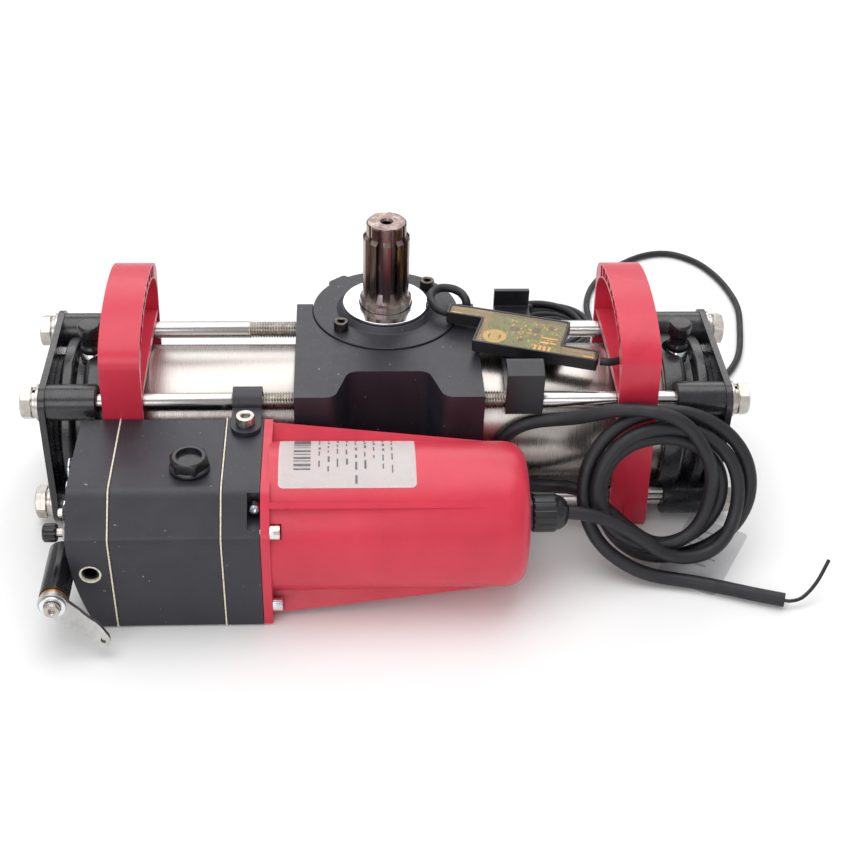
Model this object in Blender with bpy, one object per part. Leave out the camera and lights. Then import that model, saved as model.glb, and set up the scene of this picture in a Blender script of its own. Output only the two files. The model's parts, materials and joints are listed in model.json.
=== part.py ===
"""Hydraulic rack-and-pinion gate actuator: gear housing, two cylinders and a side power unit.

The frame: origin on the output shaft's axis at the housing's base, +X along the cylinders, +Z up
along the output shaft, -Y towards the power unit. Sizes are millimetres, scaled once to metres.
"""

import math

import bmesh
import bpy
from mathutils import Matrix, Vector

MM = 0.001
GAP = 0.3

# Flats round a circle, by its size
LARGE, MIDDLE, SMALL = 24, 14, 10

# Cylinders and tie bolts
CYL_Y, CYL_Z = -39.6, 45.5
TUBE_R, BORE_R = 39.0, 35.0
ROD_Y, ROD_Z = 35.0, 33.5
ROD_R, ROD_HOLE_R = 4.75, 5.4
ROD_INNER = 34.0
TUBE_START, TUBE_END = 46.5, 153.4
PLATE_IN, PLATE_OUT = 179.6, 183.0
FLAT_WASHER, SPRING_WASHER, BOLT_HEAD = 1.4, 2.15, 6.4
BOLT_FLATS = 16.0
BLEED_X, BLEED_SEAT = 160.0, 83.0

# Gear housing
CASE_X = 50.2
CASE_FRONT, CASE_REAR = -85.6, 6.4
CASE_TOP = 89.0
BOSS_R = 41.0
NOTCH_FLOOR, NOTCH_HALF, NOTCH_MOUTH = -61.6, 20.5, 30.0
CAP_TOP, CAP_FLANGE, CAP_SPIGOT_R = 90.0, 5.4, 32.6
CAVITY_R, CAVITY_LOW, CAVITY_HIGH = 31.0, 24.0, 66.0
CAP_SCREWS = ((-25.2, -21.1), (24.6, 22.7))
PIPE_Y, PIPE_Z = -79.6, 19.3

# Rack and pinion
MODULE, TEETH = 3.0, 18
PITCH_R = MODULE * TEETH / 2
PRESSURE = math.radians(20)
TOOTH = math.pi * MODULE / 2 - 0.4
GEAR_LOW, GEAR_HIGH = 27.5, 63.5
RACK_R, RACK_HALF, RACK_TEETH, RACK_RELIEF = 17.8, 79.5, 9, 8.0
PISTON_IN, PISTON_OUT = 79.8, 100.0

# Output shaft
SHAFT_TOP = 146.0
SPLINE_TEETH, SPLINE_R, SPLINE_ROOT_R, SPLINE_WIDTH = 10, 13.0, 10.7, 4.0
SPLINE_LOW, SPLINE_HIGH = 99.0, 139.5
COLLAR_R, JOURNAL_R = 14.5, 13.0

# Power unit, a row of blocks along X with one outline
UNIT_REAR, UNIT_TOP, UNIT_BOTTOM = -88.9, 78.0, 1.0
UNIT_OUTLINE = (
    (UNIT_REAR, UNIT_BOTTOM),
    (UNIT_REAR, UNIT_TOP),
    (-143.6, UNIT_TOP),
    (-147.4, 77.3),
    (-150.6, 74.8),
    (-164.4, 61.0),
    (-165.3, 59.0),
    (-165.4, 56.5),
    (-162.6, UNIT_BOTTOM),
)
VALVE_X = (-160.5, -140.7)
TANK_X = (-139.3, -85.5)
GASKET = 0.8
PUMP_X = (-84.1, -65.8)
FLANGE_X = (-65.5, -61.0)
MOTOR_Y, MOTOR_Z, MOTOR_R = -124.8, 42.0, 38.6
MOTOR_END = 70.0
GLAND_Y, GLAND_Z = -124.6, 42.3
ADJUST_Y, ADJUST_Z = -149.6, 53.0
FILLER = (-101.2, -130.8)
HANGER_SCREW = (-75.0, -96.6)
COVER_SCREWS = ((-159.6, 60.2), (-157.5, 10.5), (-92.9, 66.0), (-94.5, 8.0))
SCREW_FACE = -61.2

# Carrying straps: a hand's loop over a saddle on the rods, leaning a little towards the middle
STRAP_WIDTH, STRAP_HALF, STRAP_TOP = 20.8, 48.3, 129.0
STRAP_WALL, STRAP_ARCH, STRAP_SHOULDER = 2.8, 6.5, 108.0
SADDLE_LOW, SADDLE_HIGH = 85.2, 87.8

# Release lever
LEVER_X, LEVER_Z = -167.3, 31.5
LEVER_LENGTH, LEVER_ANGLE = 31.0, math.radians(-41.8)

# Sensor tray, set askew over the right cylinder
TRAY_CORNER = (47.7, -47.7)
TRAY_YAW = math.radians(-17)
TRAY_LOW, TRAY_HIGH = 92.0, 99.0

# Cables
MOTOR_CABLE, ENCODER_CABLE, SENSOR_CABLE = 7.4, 4.2, 4.8
COIL_CENTRE, COIL_TILT = Vector((145.0, -109.0, 45.1)), math.radians(70)
COIL_OUTER, COIL_INNER, COIL_THICK = 45.0, 25.0, 11.0
STORE_CENTRE, STORE_OUTER, STORE_INNER, STORE_HIGH = Vector((108.0, 104.0, 0.2)), 31.0, 18.0, 12.8


# ---- Shapes ---------------------------------------------------------------------------------


def turn_axes(shape, axis):
    """Lay a shape made along Z along another axis: X takes (z, x, y), Y takes (x, z, y)."""
    for vert in shape.verts:
        x, y, z = vert.co
        if axis == "X":
            vert.co = (z, x, y)
        elif axis == "Y":
            vert.co = (x, z, y)
    return shape


def moved(shape, offset):
    bmesh.ops.translate(shape, vec=offset, verts=shape.verts)
    return shape


def turned_about(shape, axis, angle, centre=(0, 0, 0)):
    matrix = Matrix.Rotation(angle, 3, axis)
    bmesh.ops.rotate(shape, cent=centre, matrix=matrix, verts=shape.verts)
    return shape


def prism(outline, low, high, axis="Z"):
    """An outline of (u, v) points, extruded from low to high along an axis."""
    shape = bmesh.new()
    face = shape.faces.new([shape.verts.new((u, v, low)) for u, v in outline])
    grown = bmesh.ops.extrude_face_region(shape, geom=[face])
    top = [item for item in grown["geom"] if isinstance(item, bmesh.types.BMVert)]
    bmesh.ops.translate(shape, vec=(0, 0, high - low), verts=top)
    return turn_axes(shape, axis)


def block(low, high):
    outline = ((low[0], low[1]), (high[0], low[1]), (high[0], high[1]), (low[0], high[1]))
    return prism(outline, low[2], high[2])


def lathe(profile, axis="Z", centre=(0, 0, 0), steps=LARGE, ring=False):
    """A profile of (radius, height) points, spun about an axis; ring closes the profile."""
    shape = bmesh.new()
    row = [shape.verts.new((radius, 0, height)) for radius, height in profile]
    edges = [shape.edges.new(pair) for pair in zip(row, row[1:])]
    if ring:
        edges.append(shape.edges.new((row[-1], row[0])))
    bmesh.ops.spin(
        shape,
        geom=row + edges,
        cent=(0, 0, 0),
        axis=(0, 0, 1),
        angle=math.tau,
        steps=steps,
        use_merge=True,
    )
    bmesh.ops.remove_doubles(shape, verts=shape.verts, dist=1e-4)
    return moved(turn_axes(shape, axis), centre)


def rod(radius, low, high, axis="Z", centre=(0, 0, 0), steps=MIDDLE):
    return lathe(((0, low), (radius, low), (radius, high), (0, high)), axis, centre, steps)


def washer(inner, outer, low, high, axis="Z", centre=(0, 0, 0), steps=MIDDLE):
    profile = ((inner, low), (outer, low), (outer, high), (inner, high))
    return lathe(profile, axis, centre, steps, ring=True)


def hexagon(flats, low, high, axis="Z", centre=(0, 0, 0)):
    radius = flats / math.sqrt(3)
    outline = [(radius * math.cos(k * math.pi / 3), radius * math.sin(k * math.pi / 3)) for k in range(6)]
    return moved(prism(outline, low, high, axis), centre)


def arc(radius, start, end, count, centre=(0, 0)):
    """Points on a circle from one angle in degrees to another."""
    angles = [math.radians(start + (end - start) * k / (count - 1)) for k in range(count)]
    return [(centre[0] + radius * math.cos(a), centre[1] + radius * math.sin(a)) for a in angles]


# ---- Objects --------------------------------------------------------------------------------


def clear_scene():
    for obj in list(bpy.data.objects):
        bpy.data.objects.remove(obj)


def finish(name, colour, roughness, metallic=0.0):
    material = bpy.data.materials.new(name)
    material.use_nodes = True
    shader = material.node_tree.nodes["Principled BSDF"]
    shader.inputs["Base Color"].default_value = (*colour, 1)
    shader.inputs["Roughness"].default_value = roughness
    shader.inputs["Metallic"].default_value = metallic
    return material


def solid(name, material, shape, origin=(0, 0, 0), flat=False):
    """One object from a closed shape, given in millimetres, with its origin placed."""
    mesh = bpy.data.meshes.new(name)
    bmesh.ops.translate(shape, vec=-Vector(origin), verts=shape.verts)
    bmesh.ops.scale(shape, vec=(MM, MM, MM), verts=shape.verts)
    bmesh.ops.recalc_face_normals(shape, faces=shape.faces)
    shape.to_mesh(mesh)
    shape.free()
    if material:
        mesh.materials.append(material)
    if not flat:
        mesh.shade_smooth()
        mesh.set_sharp_from_angle(angle=math.radians(30))
    obj = bpy.data.objects.new(name, mesh)
    obj.location = Vector(origin) * MM
    bpy.context.scene.collection.objects.link(obj)
    return obj


def combine(target, operation, *shapes):
    """Boolean each shape, as its own hidden tool, into the target."""
    for shape in shapes:
        tool = solid(f"tool_{operation.lower()}_{len(bpy.data.objects)}", None, shape, flat=True)
        tool.hide_render = True
        tool.display_type = "WIRE"
        modifier = target.modifiers.new(tool.name, "BOOLEAN")
        modifier.operation = operation
        modifier.object = tool
        modifier.solver = "EXACT"


def cut(target, *shapes):
    combine(target, "DIFFERENCE", *shapes)


def fuse(target, *shapes):
    combine(target, "UNION", *shapes)


def smooth_route(points, spacing):
    """Points at an even spacing on a Catmull-Rom curve through the given points."""
    ends = [2 * Vector(points[0]) - Vector(points[1])]
    ends += [Vector(point) for point in points]
    ends.append(2 * ends[-1] - ends[-2])
    fine = []
    for a, b, c, d in zip(ends, ends[1:], ends[2:], ends[3:]):
        for k in range(20):
            t = k / 20
            cubic = (3 * b - a - 3 * c + d) * t**3 + (2 * a - 5 * b + 4 * c - d) * t**2
            fine.append((cubic + (c - a) * t + 2 * b) / 2)
    fine.append(ends[-2])
    total = sum((q - p).length for p, q in zip(fine, fine[1:]))
    step = total / round(total / spacing)
    route, along, goal = [fine[0]], 0.0, step
    for p, q in zip(fine, fine[1:]):
        length = (q - p).length
        while along + length >= goal - 1e-6 and length > 0:
            route.append(p.lerp(q, (goal - along) / length))
            goal += step
        along += length
    return route


def cable(name, material, points, diameter, resolution, spacing=2.4):
    """A round cable on a smooth curve through hand-chosen points, spacing in diameters."""
    route = smooth_route(points, spacing * diameter)
    curve = bpy.data.curves.new(name, "CURVE")
    curve.dimensions = "3D"
    curve.bevel_depth = diameter / 2 * MM
    curve.bevel_resolution = resolution
    curve.use_fill_caps = True
    spline = curve.splines.new("POLY")
    spline.points.add(len(route) - 1)
    for point, place in zip(spline.points, route):
        point.co = (*(place * MM), 1)
    curve.materials.append(material)
    obj = bpy.data.objects.new(name, curve)
    bpy.context.scene.collection.objects.link(obj)
    return obj


def sides():
    return (("left", -1), ("right", 1))


def rod_places():
    return [(CYL_Y + y * ROD_Y, CYL_Z + z * ROD_Z) for z in (1, -1) for y in (-1, 1)]


def along_x(side, low, high):
    """A span of X measured outwards from the middle, on one side."""
    return (low, high) if side > 0 else (-high, -low)


# ---- Gear housing ---------------------------------------------------------------------------


def housing_outline():
    """Plan of the block: a straight front with an S-sided notch in it."""
    left = [(-CASE_X, CASE_REAR), (-CASE_X, CASE_FRONT), (-NOTCH_MOUTH - 4, CASE_FRONT)]
    left += arc(7, -90, -28, 4, (-NOTCH_MOUTH - 4, CASE_FRONT + 7))
    left += arc(7, 152, 90, 4, (-NOTCH_HALF + 4, NOTCH_FLOOR - 7))
    right = [(-x, y) for x, y in reversed(left)]
    return left + right


def make_housing(material):
    housing = solid("pinion_housing", material, prism(housing_outline(), 0, CASE_TOP))
    fuse(housing, rod(BOSS_R, 0, CASE_TOP - 0.5, steps=LARGE))
    pocket = ((0, CAVITY_LOW), (CAVITY_R, CAVITY_LOW), (CAVITY_R, CAVITY_HIGH))
    pocket += ((CAP_SPIGOT_R + GAP, CAVITY_HIGH), (CAP_SPIGOT_R + GAP, CAP_TOP - CAP_FLANGE - GAP))
    pocket += ((BOSS_R + GAP, CAP_TOP - CAP_FLANGE - GAP), (BOSS_R + GAP, CASE_TOP + 5), (0, CASE_TOP + 5))
    cut(housing, lathe(pocket, steps=LARGE))
    cut(housing, rod(16.4, 8, CAVITY_LOW + 1, steps=LARGE))
    cut(housing, rod(RACK_R + 0.5, -CASE_X - 1, CASE_X + 1, "X", (0, CYL_Y, CYL_Z), LARGE))
    for side in (-1, 1):
        span = along_x(side, TUBE_START - GAP, CASE_X + 1)
        cut(housing, washer(BORE_R - GAP, TUBE_R + GAP, *span, "X", (0, CYL_Y, CYL_Z), LARGE))
        for y, z in rod_places():
            span = along_x(side, ROD_INNER - 1, CASE_X + 1)
            cut(housing, rod(ROD_R + GAP, *span, "X", (0, y, z), SMALL))
        port = along_x(side, CASE_X - 12, CASE_X + 1)
        cut(housing, rod(2.2, *port, "X", (0, PIPE_Y, PIPE_Z), SMALL))
    for x, y in CAP_SCREWS:
        cut(housing, rod(2.6, 72, CASE_TOP + 1, centre=(x, y, 0), steps=SMALL))
    return housing


def make_cap(material):
    top, rim = CAP_TOP, CAP_TOP - CAP_FLANGE
    profile = [(BOSS_R, rim), (BOSS_R, top - 0.5), (BOSS_R - 0.5, top), (27.5, top), (24.5, 93.0)]
    profile += [(20.6, 93.0), (20.6, 84.5), (19.3, 84.5), (19.3, CAVITY_HIGH + 1)]
    profile += [(CAP_SPIGOT_R, CAVITY_HIGH + 1), (CAP_SPIGOT_R, rim)]
    cap = solid("bearing_cap", material, lathe(profile, steps=LARGE, ring=True))
    fuse(cap, moved(block((-5, -4, rim), (5, 4, top - 0.4)), (-26.5, 31.5, 0)))
    for x, y in CAP_SCREWS:
        cut(cap, rod(2.9, rim - 20, top + 5, centre=(x, y, 0), steps=SMALL))
    return cap


def socket_screw(x, y, seat, head_r, head_high, stem_r, stem_long, socket_r):
    """Profile of a cap screw with a round blind socket in its head."""
    profile = [(0, seat - stem_long), (stem_r, seat - stem_long), (stem_r, seat), (head_r, seat)]
    profile += [(head_r, seat + head_high - 0.4), (head_r - 0.4, seat + head_high)]
    profile += [(socket_r, seat + head_high), (socket_r, seat + head_high * 0.45)]
    profile += [(0, seat + head_high * 0.45)]
    return lathe(profile, centre=(x, y, 0), steps=MIDDLE)


def make_cap_screws(material):
    for name, (x, y) in zip(("front", "rear"), CAP_SCREWS):
        solid(f"cap_screw_{name}", material, socket_screw(x, y, CAP_TOP + GAP, 4.4, 5.0, 2.3, 16, 2.0))


# ---- Rack, pinion and shaft -----------------------------------------------------------------


def involute(angle):
    return math.tan(angle) - angle


def gear_outline():
    """Involute teeth with the first tooth's centre towards -Y."""
    base = PITCH_R * math.cos(PRESSURE)
    root, tip = PITCH_R - 1.25 * MODULE, PITCH_R + MODULE
    half_at_pitch = TOOTH / (2 * PITCH_R)
    radii = (base, 27.0, 28.6, tip)
    halves = [half_at_pitch + involute(PRESSURE) - involute(math.acos(base / r)) for r in radii]
    outline = []
    for tooth in range(TEETH):
        middle = -math.pi / 2 + tooth * math.tau / TEETH
        left = [(root, -halves[0])] + [(r, -half) for r, half in zip(radii, halves)]
        right = [(r, -angle) for r, angle in reversed(left)]
        for r, angle in left + right:
            outline.append((r * math.cos(middle + angle), r * math.sin(middle + angle)))
    return outline


def make_pinion(material):
    pinion = solid("drive_pinion", material, prism(gear_outline(), GEAR_LOW, GEAR_HIGH))
    cut(pinion, rod(JOURNAL_R + GAP, GEAR_LOW - 1, GEAR_HIGH + 1, steps=LARGE))
    cut(pinion, block((-3, 0, GEAR_LOW - 1), (3, 16, GEAR_HIGH + 1)))
    return pinion


def spline_outline():
    outline = []
    half = math.asin(SPLINE_WIDTH / 2 / SPLINE_R)
    half_root = math.asin(SPLINE_WIDTH / 2 / SPLINE_ROOT_R)
    for tooth in range(SPLINE_TEETH):
        middle = -math.pi / 2 + tooth * math.tau / SPLINE_TEETH
        flanks = ((SPLINE_ROOT_R, -half_root), (SPLINE_R, -half), (SPLINE_R, half))
        for r, angle in (*flanks, (SPLINE_ROOT_R, half_root)):
            outline.append((r * math.cos(middle + angle), r * math.sin(middle + angle)))
    return outline


def make_shaft(material):
    """Journal, key, collar, splined length and neck in one piece, with a blind centre hole."""
    profile = [(0, 9), (JOURNAL_R, 9), (JOURNAL_R, 66.5), (COLLAR_R, 66.5), (COLLAR_R, SPLINE_LOW)]
    profile += [(SPLINE_R, SPLINE_LOW + 1.5), (SPLINE_ROOT_R + 0.4, SPLINE_LOW + 6)]
    profile += [(SPLINE_ROOT_R + 0.4, SHAFT_TOP - 1), (SPLINE_ROOT_R - 0.6, SHAFT_TOP)]
    profile += [(3.0, SHAFT_TOP), (3.0, SHAFT_TOP - 18), (0, SHAFT_TOP - 20)]
    shaft = solid("output_shaft", material, lathe(profile, steps=LARGE))
    teeth = prism(spline_outline(), SPLINE_LOW - 2, SPLINE_HIGH)
    bore = rod(6, SPLINE_LOW - 4, SPLINE_HIGH + 2, steps=MIDDLE)
    splines = solid("tool_splines", None, teeth, flat=True)
    cut(splines, bore)
    cone = [(SPLINE_R - 3, SPLINE_HIGH + 1), (SPLINE_R + 3, SPLINE_HIGH + 1), (SPLINE_R + 3, SPLINE_HIGH - 5)]
    cut(splines, lathe(cone, steps=LARGE, ring=True))
    splines.hide_render = True
    splines.display_type = "WIRE"
    modifier = shaft.modifiers.new("splines", "BOOLEAN")
    modifier.operation = "UNION"
    modifier.object = splines
    modifier.solver = "EXACT"
    fuse(shaft, block((-2.7, 10, 30), (2.7, 15.6, 61)))
    return shaft


def make_shaft_rings(zinc, bronze, rubber):
    solid("shaft_washer", zinc, washer(COLLAR_R + GAP, 24.0, 93.3, 94.8, steps=LARGE))
    solid("upper_bush", bronze, washer(COLLAR_R + GAP, 19.0, 68, 84.2, steps=LARGE))
    solid("lower_bush", bronze, washer(JOURNAL_R + GAP, 16.1, 8.3, 23.5, steps=LARGE))
    solid("shaft_seal", rubber, washer(COLLAR_R + GAP, 20.3, 85, 92.6, steps=LARGE))


def rack_outline():
    """The bar seen from above: straight back, with nine trapezoid teeth on its +Y side."""
    pitch = math.pi * MODULE
    line = -PITCH_R
    tip, root = line + MODULE, line - 1.25 * MODULE
    slope = math.tan(PRESSURE)
    half_tip = TOOTH / 2 - MODULE * slope
    half_root = TOOTH / 2 + 1.25 * MODULE * slope
    points = []
    for tooth in range(RACK_TEETH + 1):
        x = (tooth - RACK_TEETH / 2) * pitch
        points += [(x - half_root, root), (x - half_tip, tip), (x + half_tip, tip), (x + half_root, root)]
    return points


def make_rack(material):
    rack = solid("rack_bar", material, rod(RACK_R, -RACK_HALF, RACK_HALF, "X", (0, CYL_Y, CYL_Z), LARGE))
    points = rack_outline()
    start, end = points[0][0] - RACK_RELIEF, points[-1][0] + RACK_RELIEF
    waste = [(start, 0), (start, points[0][1])] + points + [(end, points[-1][1]), (end, 0)]
    cut(rack, prism(waste, 10, 80))
    return rack


def make_pistons(steel):
    """Each piston with its two ring lands and the groove between them."""
    mid = (PISTON_IN + PISTON_OUT) / 2
    lands = [(0, PISTON_IN), (BORE_R - 0.4, PISTON_IN), (BORE_R - 0.4, mid - 3), (31, mid - 3)]
    lands += [(31, mid + 3), (BORE_R - 0.4, mid + 3), (BORE_R - 0.4, PISTON_OUT), (0, PISTON_OUT)]
    for name, side in sides():
        profile = [(r, side * h) for r, h in lands]
        solid(f"piston_{name}", steel, lathe(profile, "X", (0, CYL_Y, CYL_Z), LARGE))


# ---- Cylinders, heads and bolts -------------------------------------------------------------


def make_cylinders(steel):
    for name, side in sides():
        span = along_x(side, TUBE_START, TUBE_END)
        solid(f"cylinder_{name}", steel, washer(BORE_R, TUBE_R, *span, "X", (0, CYL_Y, CYL_Z), LARGE))


def head_plate():
    """Outer plate of an end head: a square with rounded corners, in Y and Z."""
    points = []
    for turn, (y, z) in enumerate(((1, 1), (-1, 1), (-1, -1), (1, -1))):
        centre = (CYL_Y + y * (ROD_Y + 1.4), CYL_Z + z * (ROD_Z + 0.4))
        points += arc(10, turn * 90, turn * 90 + 90, 5, centre)
    return points


def make_heads(iron):
    axis = (0, CYL_Y, CYL_Z)
    for name, side in sides():
        hub = [(0, 158), (26, 158), (26, 150), (BORE_R - GAP, 150), (BORE_R - GAP, 153.7)]
        hub += [(TUBE_R + GAP, 153.7), (TUBE_R + GAP, 150), (44, 150), (44, 161), (37, 163)]
        hub += [(37, 167), (43, 169), (43, 174), (34, 176), (34, 180), (0, 180)]
        head = solid(f"end_head_{name}", iron, lathe([(r, side * h) for r, h in hub], "X", axis))
        fuse(head, prism(head_plate(), *along_x(side, PLATE_IN, PLATE_OUT), "X"))
        for y, z in rod_places():
            boss = rod(9.7, *along_x(side, 153.3, PLATE_OUT - 0.6), "X", (0, y, z), MIDDLE)
            fuse(head, boss)
        for y, z in rod_places():
            cut(head, rod(ROD_HOLE_R, *along_x(side, 140, 190), "X", (0, y, z), SMALL))
        x = side * BLEED_X
        cut(head, rod(8.5, BLEED_SEAT, 100, centre=(x, CYL_Y, 0), steps=MIDDLE))
        cut(head, rod(3.4, 66, 90, centre=(x, CYL_Y, 0), steps=SMALL))


def make_bleeds(plastic):
    """A knob on a stem, with the seal ring round its foot."""
    knob = [(0, 76), (2.9, 76), (2.9, 83.3), (6.0, 83.3), (6.4, 84.2), (6.4, 86.2), (4.6, 89.6), (4.6, 97)]
    knob += [(6.4, 98.2), (6.4, 104.6), (5.6, 105.4), (0, 105.4)]
    for name, side in sides():
        centre = (side * BLEED_X, CYL_Y, 0)
        solid(f"bleed_screw_{name}", plastic, lathe(knob, centre=centre, steps=MIDDLE), origin=centre)


def make_bolts(steel):
    """Long bolts, each with its flat washer and its spring washer against the end head's plate."""
    flat_in = PLATE_OUT + GAP
    spring_in = flat_in + FLAT_WASHER
    head_in = spring_in + SPRING_WASHER
    head_out = head_in + BOLT_HEAD
    stem = [(0, ROD_INNER), (ROD_R, ROD_INNER), (ROD_R, flat_in), (9.8, flat_in), (9.8, spring_in)]
    stem += [(8.3, spring_in), (8.3, head_in), (7.0, head_in), (7.0, head_out - 1), (0, head_out - 1)]
    for name, side in sides():
        profile = [(r, side * h) for r, h in stem]
        for number, (y, z) in enumerate(rod_places(), 1):
            bolt = solid(f"tie_bolt_{name}_{number}", steel, lathe(profile, "X", (0, y, z), SMALL))
            fuse(bolt, hexagon(BOLT_FLATS, *along_x(side, head_in, head_out), "X", (0, y, z)))


# ---- Carrying straps ------------------------------------------------------------------------


def arch(half, top, shoulder, count):
    """Half an ellipse over the cylinder, from its +Y foot to its -Y foot."""
    angles = [math.pi * k / (count - 1) for k in range(count)]
    return [(CYL_Y + half * math.cos(a), shoulder + (top - shoulder) * math.sin(a)) for a in angles]


def strap_outline():
    """A hoop open below, thick over the arch, with a toe under each lower rod."""
    leg, toe = STRAP_HALF - STRAP_WALL, 31.0
    outer = [(CYL_Y + 45.5, 0.6), (CYL_Y + STRAP_HALF, 6), (CYL_Y + STRAP_HALF, 26)]
    outer += arch(STRAP_HALF, STRAP_TOP, STRAP_SHOULDER, 25)
    outer += [(CYL_Y - STRAP_HALF, 26), (CYL_Y - STRAP_HALF, 6), (CYL_Y - 45.5, 0.6)]
    foot = [(toe, 0.6), (toe, 5.2), (leg - 2, 5.2), (leg, 9), (leg, 62)]
    inner = [(CYL_Y - y, z) for y, z in foot]
    inner += reversed(arch(leg, STRAP_TOP - STRAP_ARCH, STRAP_SHOULDER - 12, 25))
    inner += [(CYL_Y + y, z) for y, z in reversed(foot)]
    return outer + inner


def strap_cell(first, last):
    """One hollow between the strap's two walls, between two angles in degrees over the arch."""
    inset_out, inset_in = 1.8, 1.6
    out, back = [], []
    for k in range(6):
        angle = math.radians(first + (last - first) * k / 5)
        u, v = math.cos(angle), math.sin(angle)
        half, rise = STRAP_HALF - inset_out, STRAP_TOP - STRAP_SHOULDER - inset_out
        out.append((CYL_Y + half * u, STRAP_SHOULDER + rise * v))
        half, low = STRAP_HALF - STRAP_WALL + inset_in * v, STRAP_SHOULDER - 12
        rise = STRAP_TOP - STRAP_ARCH + inset_in - low
        back.append((CYL_Y + min(half, STRAP_HALF - 4.4) * u, low + rise * v))
    return out + list(reversed(back))


def lean(shape, middle, slope):
    """Lean the strap along X in proportion to the height under its top."""
    for vert in shape.verts:
        vert.co.x += middle + slope * (STRAP_TOP - vert.co.z)
    return shape


def make_straps(plastic):
    half, reach = STRAP_WIDTH / 2, STRAP_HALF - STRAP_WALL + 1
    for name, middle, slope in (("left", -138.2, -0.015), ("right", 129.8, 0.03)):
        hoop = lean(prism(strap_outline(), -half, half, "X"), middle, slope)
        strap = solid(f"carry_strap_{name}", plastic, hoop)
        saddle = block((0.6 - half, CYL_Y - reach, SADDLE_LOW), (half - 0.6, CYL_Y + reach, SADDLE_HIGH))
        fuse(strap, lean(saddle, middle, slope))
        for first in (42, 58, 74, 90, 106, 122):
            cell = prism(strap_cell(first + 2, first + 14), -half - 1, half + 1, "X")
            cut(strap, lean(cell, middle, slope))
        if name == "right":
            fin = ((CYL_Y - 47, 26), (CYL_Y - 55, 2), (CYL_Y - 53, 0.7), (CYL_Y - 44, 0.7), (CYL_Y - 46, 12))
            fuse(strap, lean(prism(fin, -2, 2, "X"), middle, slope))


# ---- Power unit -----------------------------------------------------------------------------


def grown(outline, amount):
    """The outline scaled so that its front and top stand out by about this much."""
    centre = (-127, 40)
    return [(y + amount * (y - centre[0]) / 40, z + amount * (z - centre[1]) / 39) for y, z in outline]


def make_valve_block(material):
    valve = solid("valve_block", material, prism(UNIT_OUTLINE, *VALVE_X, "X"))
    corner = ((-165, 50), (-160.4, 50), (-157.6, 32), (-151.0, 13), (-147.0, -2), (-165, -2))
    cut(valve, prism(corner, -190, -139, "Y"))
    cut(valve, rod(2.9, -175, -150, "X", (0, ADJUST_Y, ADJUST_Z), SMALL))
    return valve


def make_tank(material, paper):
    tank = solid("oil_tank", material, prism(UNIT_OUTLINE, *TANK_X, "X"))
    inside = [(UNIT_REAR - 5, 6), (UNIT_REAR - 5, 72), (-144, 72), (-160, 60), (-153, 6)]
    cut(tank, prism(inside, TANK_X[0] - 1, TANK_X[1] + 1, "X"))
    cut(tank, rod(7.2, 66, 90, centre=(*FILLER, 0), steps=MIDDLE))
    for name, start in (("left", TANK_X[0] - GAP - GASKET), ("right", TANK_X[1] + GAP)):
        ring = prism(grown(UNIT_OUTLINE, 0.5), start, start + GASKET, "X")
        gasket = solid(f"gasket_{name}", paper, ring)
        cut(gasket, prism(inside, start - 1, start + GASKET + 1, "X"))


def make_pump_block(material):
    pump = solid("pump_block", material, prism(UNIT_OUTLINE, *PUMP_X, "X"))
    cut(pump, block((-72.0, -180, 63.5), (-64, -147, 76.5)))
    cut(pump, rod(20, PUMP_X[0] - 1, -74, "X", (0, MOTOR_Y, MOTOR_Z), LARGE))
    cut(pump, rod(6, -90, -60, "X", (0, MOTOR_Y, MOTOR_Z), MIDDLE))
    cut(pump, rod(3.2, 60, 90, centre=(*HANGER_SCREW, 0), steps=SMALL))
    for y, z in COVER_SCREWS:
        cut(pump, rod(2.4, -71.6, -60, "X", (0, y, z), SMALL))


def make_cover(red):
    axis = (0, MOTOR_Y, MOTOR_Z)
    flange = prism(grown(UNIT_OUTLINE, -0.2), *FLANGE_X, "X")
    cover = solid("motor_cover", red, flange)
    x0, x1, r = FLANGE_X[1] - 1, MOTOR_END, MOTOR_R
    can = [(0, x0), (r, x0), (r - 0.7, x1 - 11), (r - 1.6, x1 - 6), (r - 4.2, x1 - 2.4)]
    can += [(r - 9, x1), (0, x1)]
    fuse(cover, lathe(can, "X", axis))
    for y, z in ((34.4, 34.6), (20, -39.6), (-31, -39.6), (-28.7, 30.2)):
        reach = math.hypot(y, z)
        fin = prism(((x0, 30), (x0, reach), (54, r - 1.0), (54, 30)), -1.6, 1.6)
        fin = turn_fin(fin, math.atan2(z, y))
        fuse(cover, moved(fin, axis))
    hollow = [(0, FLANGE_X[0] - 1), (34.2, FLANGE_X[0] - 1), (34.2, -53), (r - 2.4, -49)]
    hollow += [(r - 3, x1 - 12), (r - 6, x1 - 4.5), (r - 11, x1 - 2.4), (0, x1 - 2.4)]
    cut(cover, lathe(hollow, "X", axis))
    cut(cover, rod(6.0, 60, 80, "X", (0, GLAND_Y, GLAND_Z), MIDDLE))
    for y, z in COVER_SCREWS:
        cut(cover, rod(4.2, SCREW_FACE, -55.2, "X", (0, y, z), MIDDLE))
        cut(cover, rod(2.4, -70, -60, "X", (0, y, z), SMALL))


def turn_fin(shape, angle):
    """Stand a fin, drawn as (along X, outwards) with its thickness in Z, at an angle about X."""
    for vert in shape.verts:
        x, out, side = vert.co
        c, s = math.cos(angle), math.sin(angle)
        vert.co = (x, out * c - side * s, out * s + side * c)
    return shape


def make_cover_screws(steel):
    seat = FLANGE_X[1] + GAP
    profile = [(0, seat - 10), (2.0, seat - 10), (2.0, seat), (3.7, seat), (3.7, seat + 4.6)]
    profile += [(3.3, seat + 5), (1.9, seat + 5), (1.9, seat + 2.6), (0, seat + 2.6)]
    for number, (y, z) in enumerate(COVER_SCREWS, 1):
        solid(f"cover_screw_{number}", steel, lathe(profile, "X", (0, y, z), SMALL))


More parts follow.
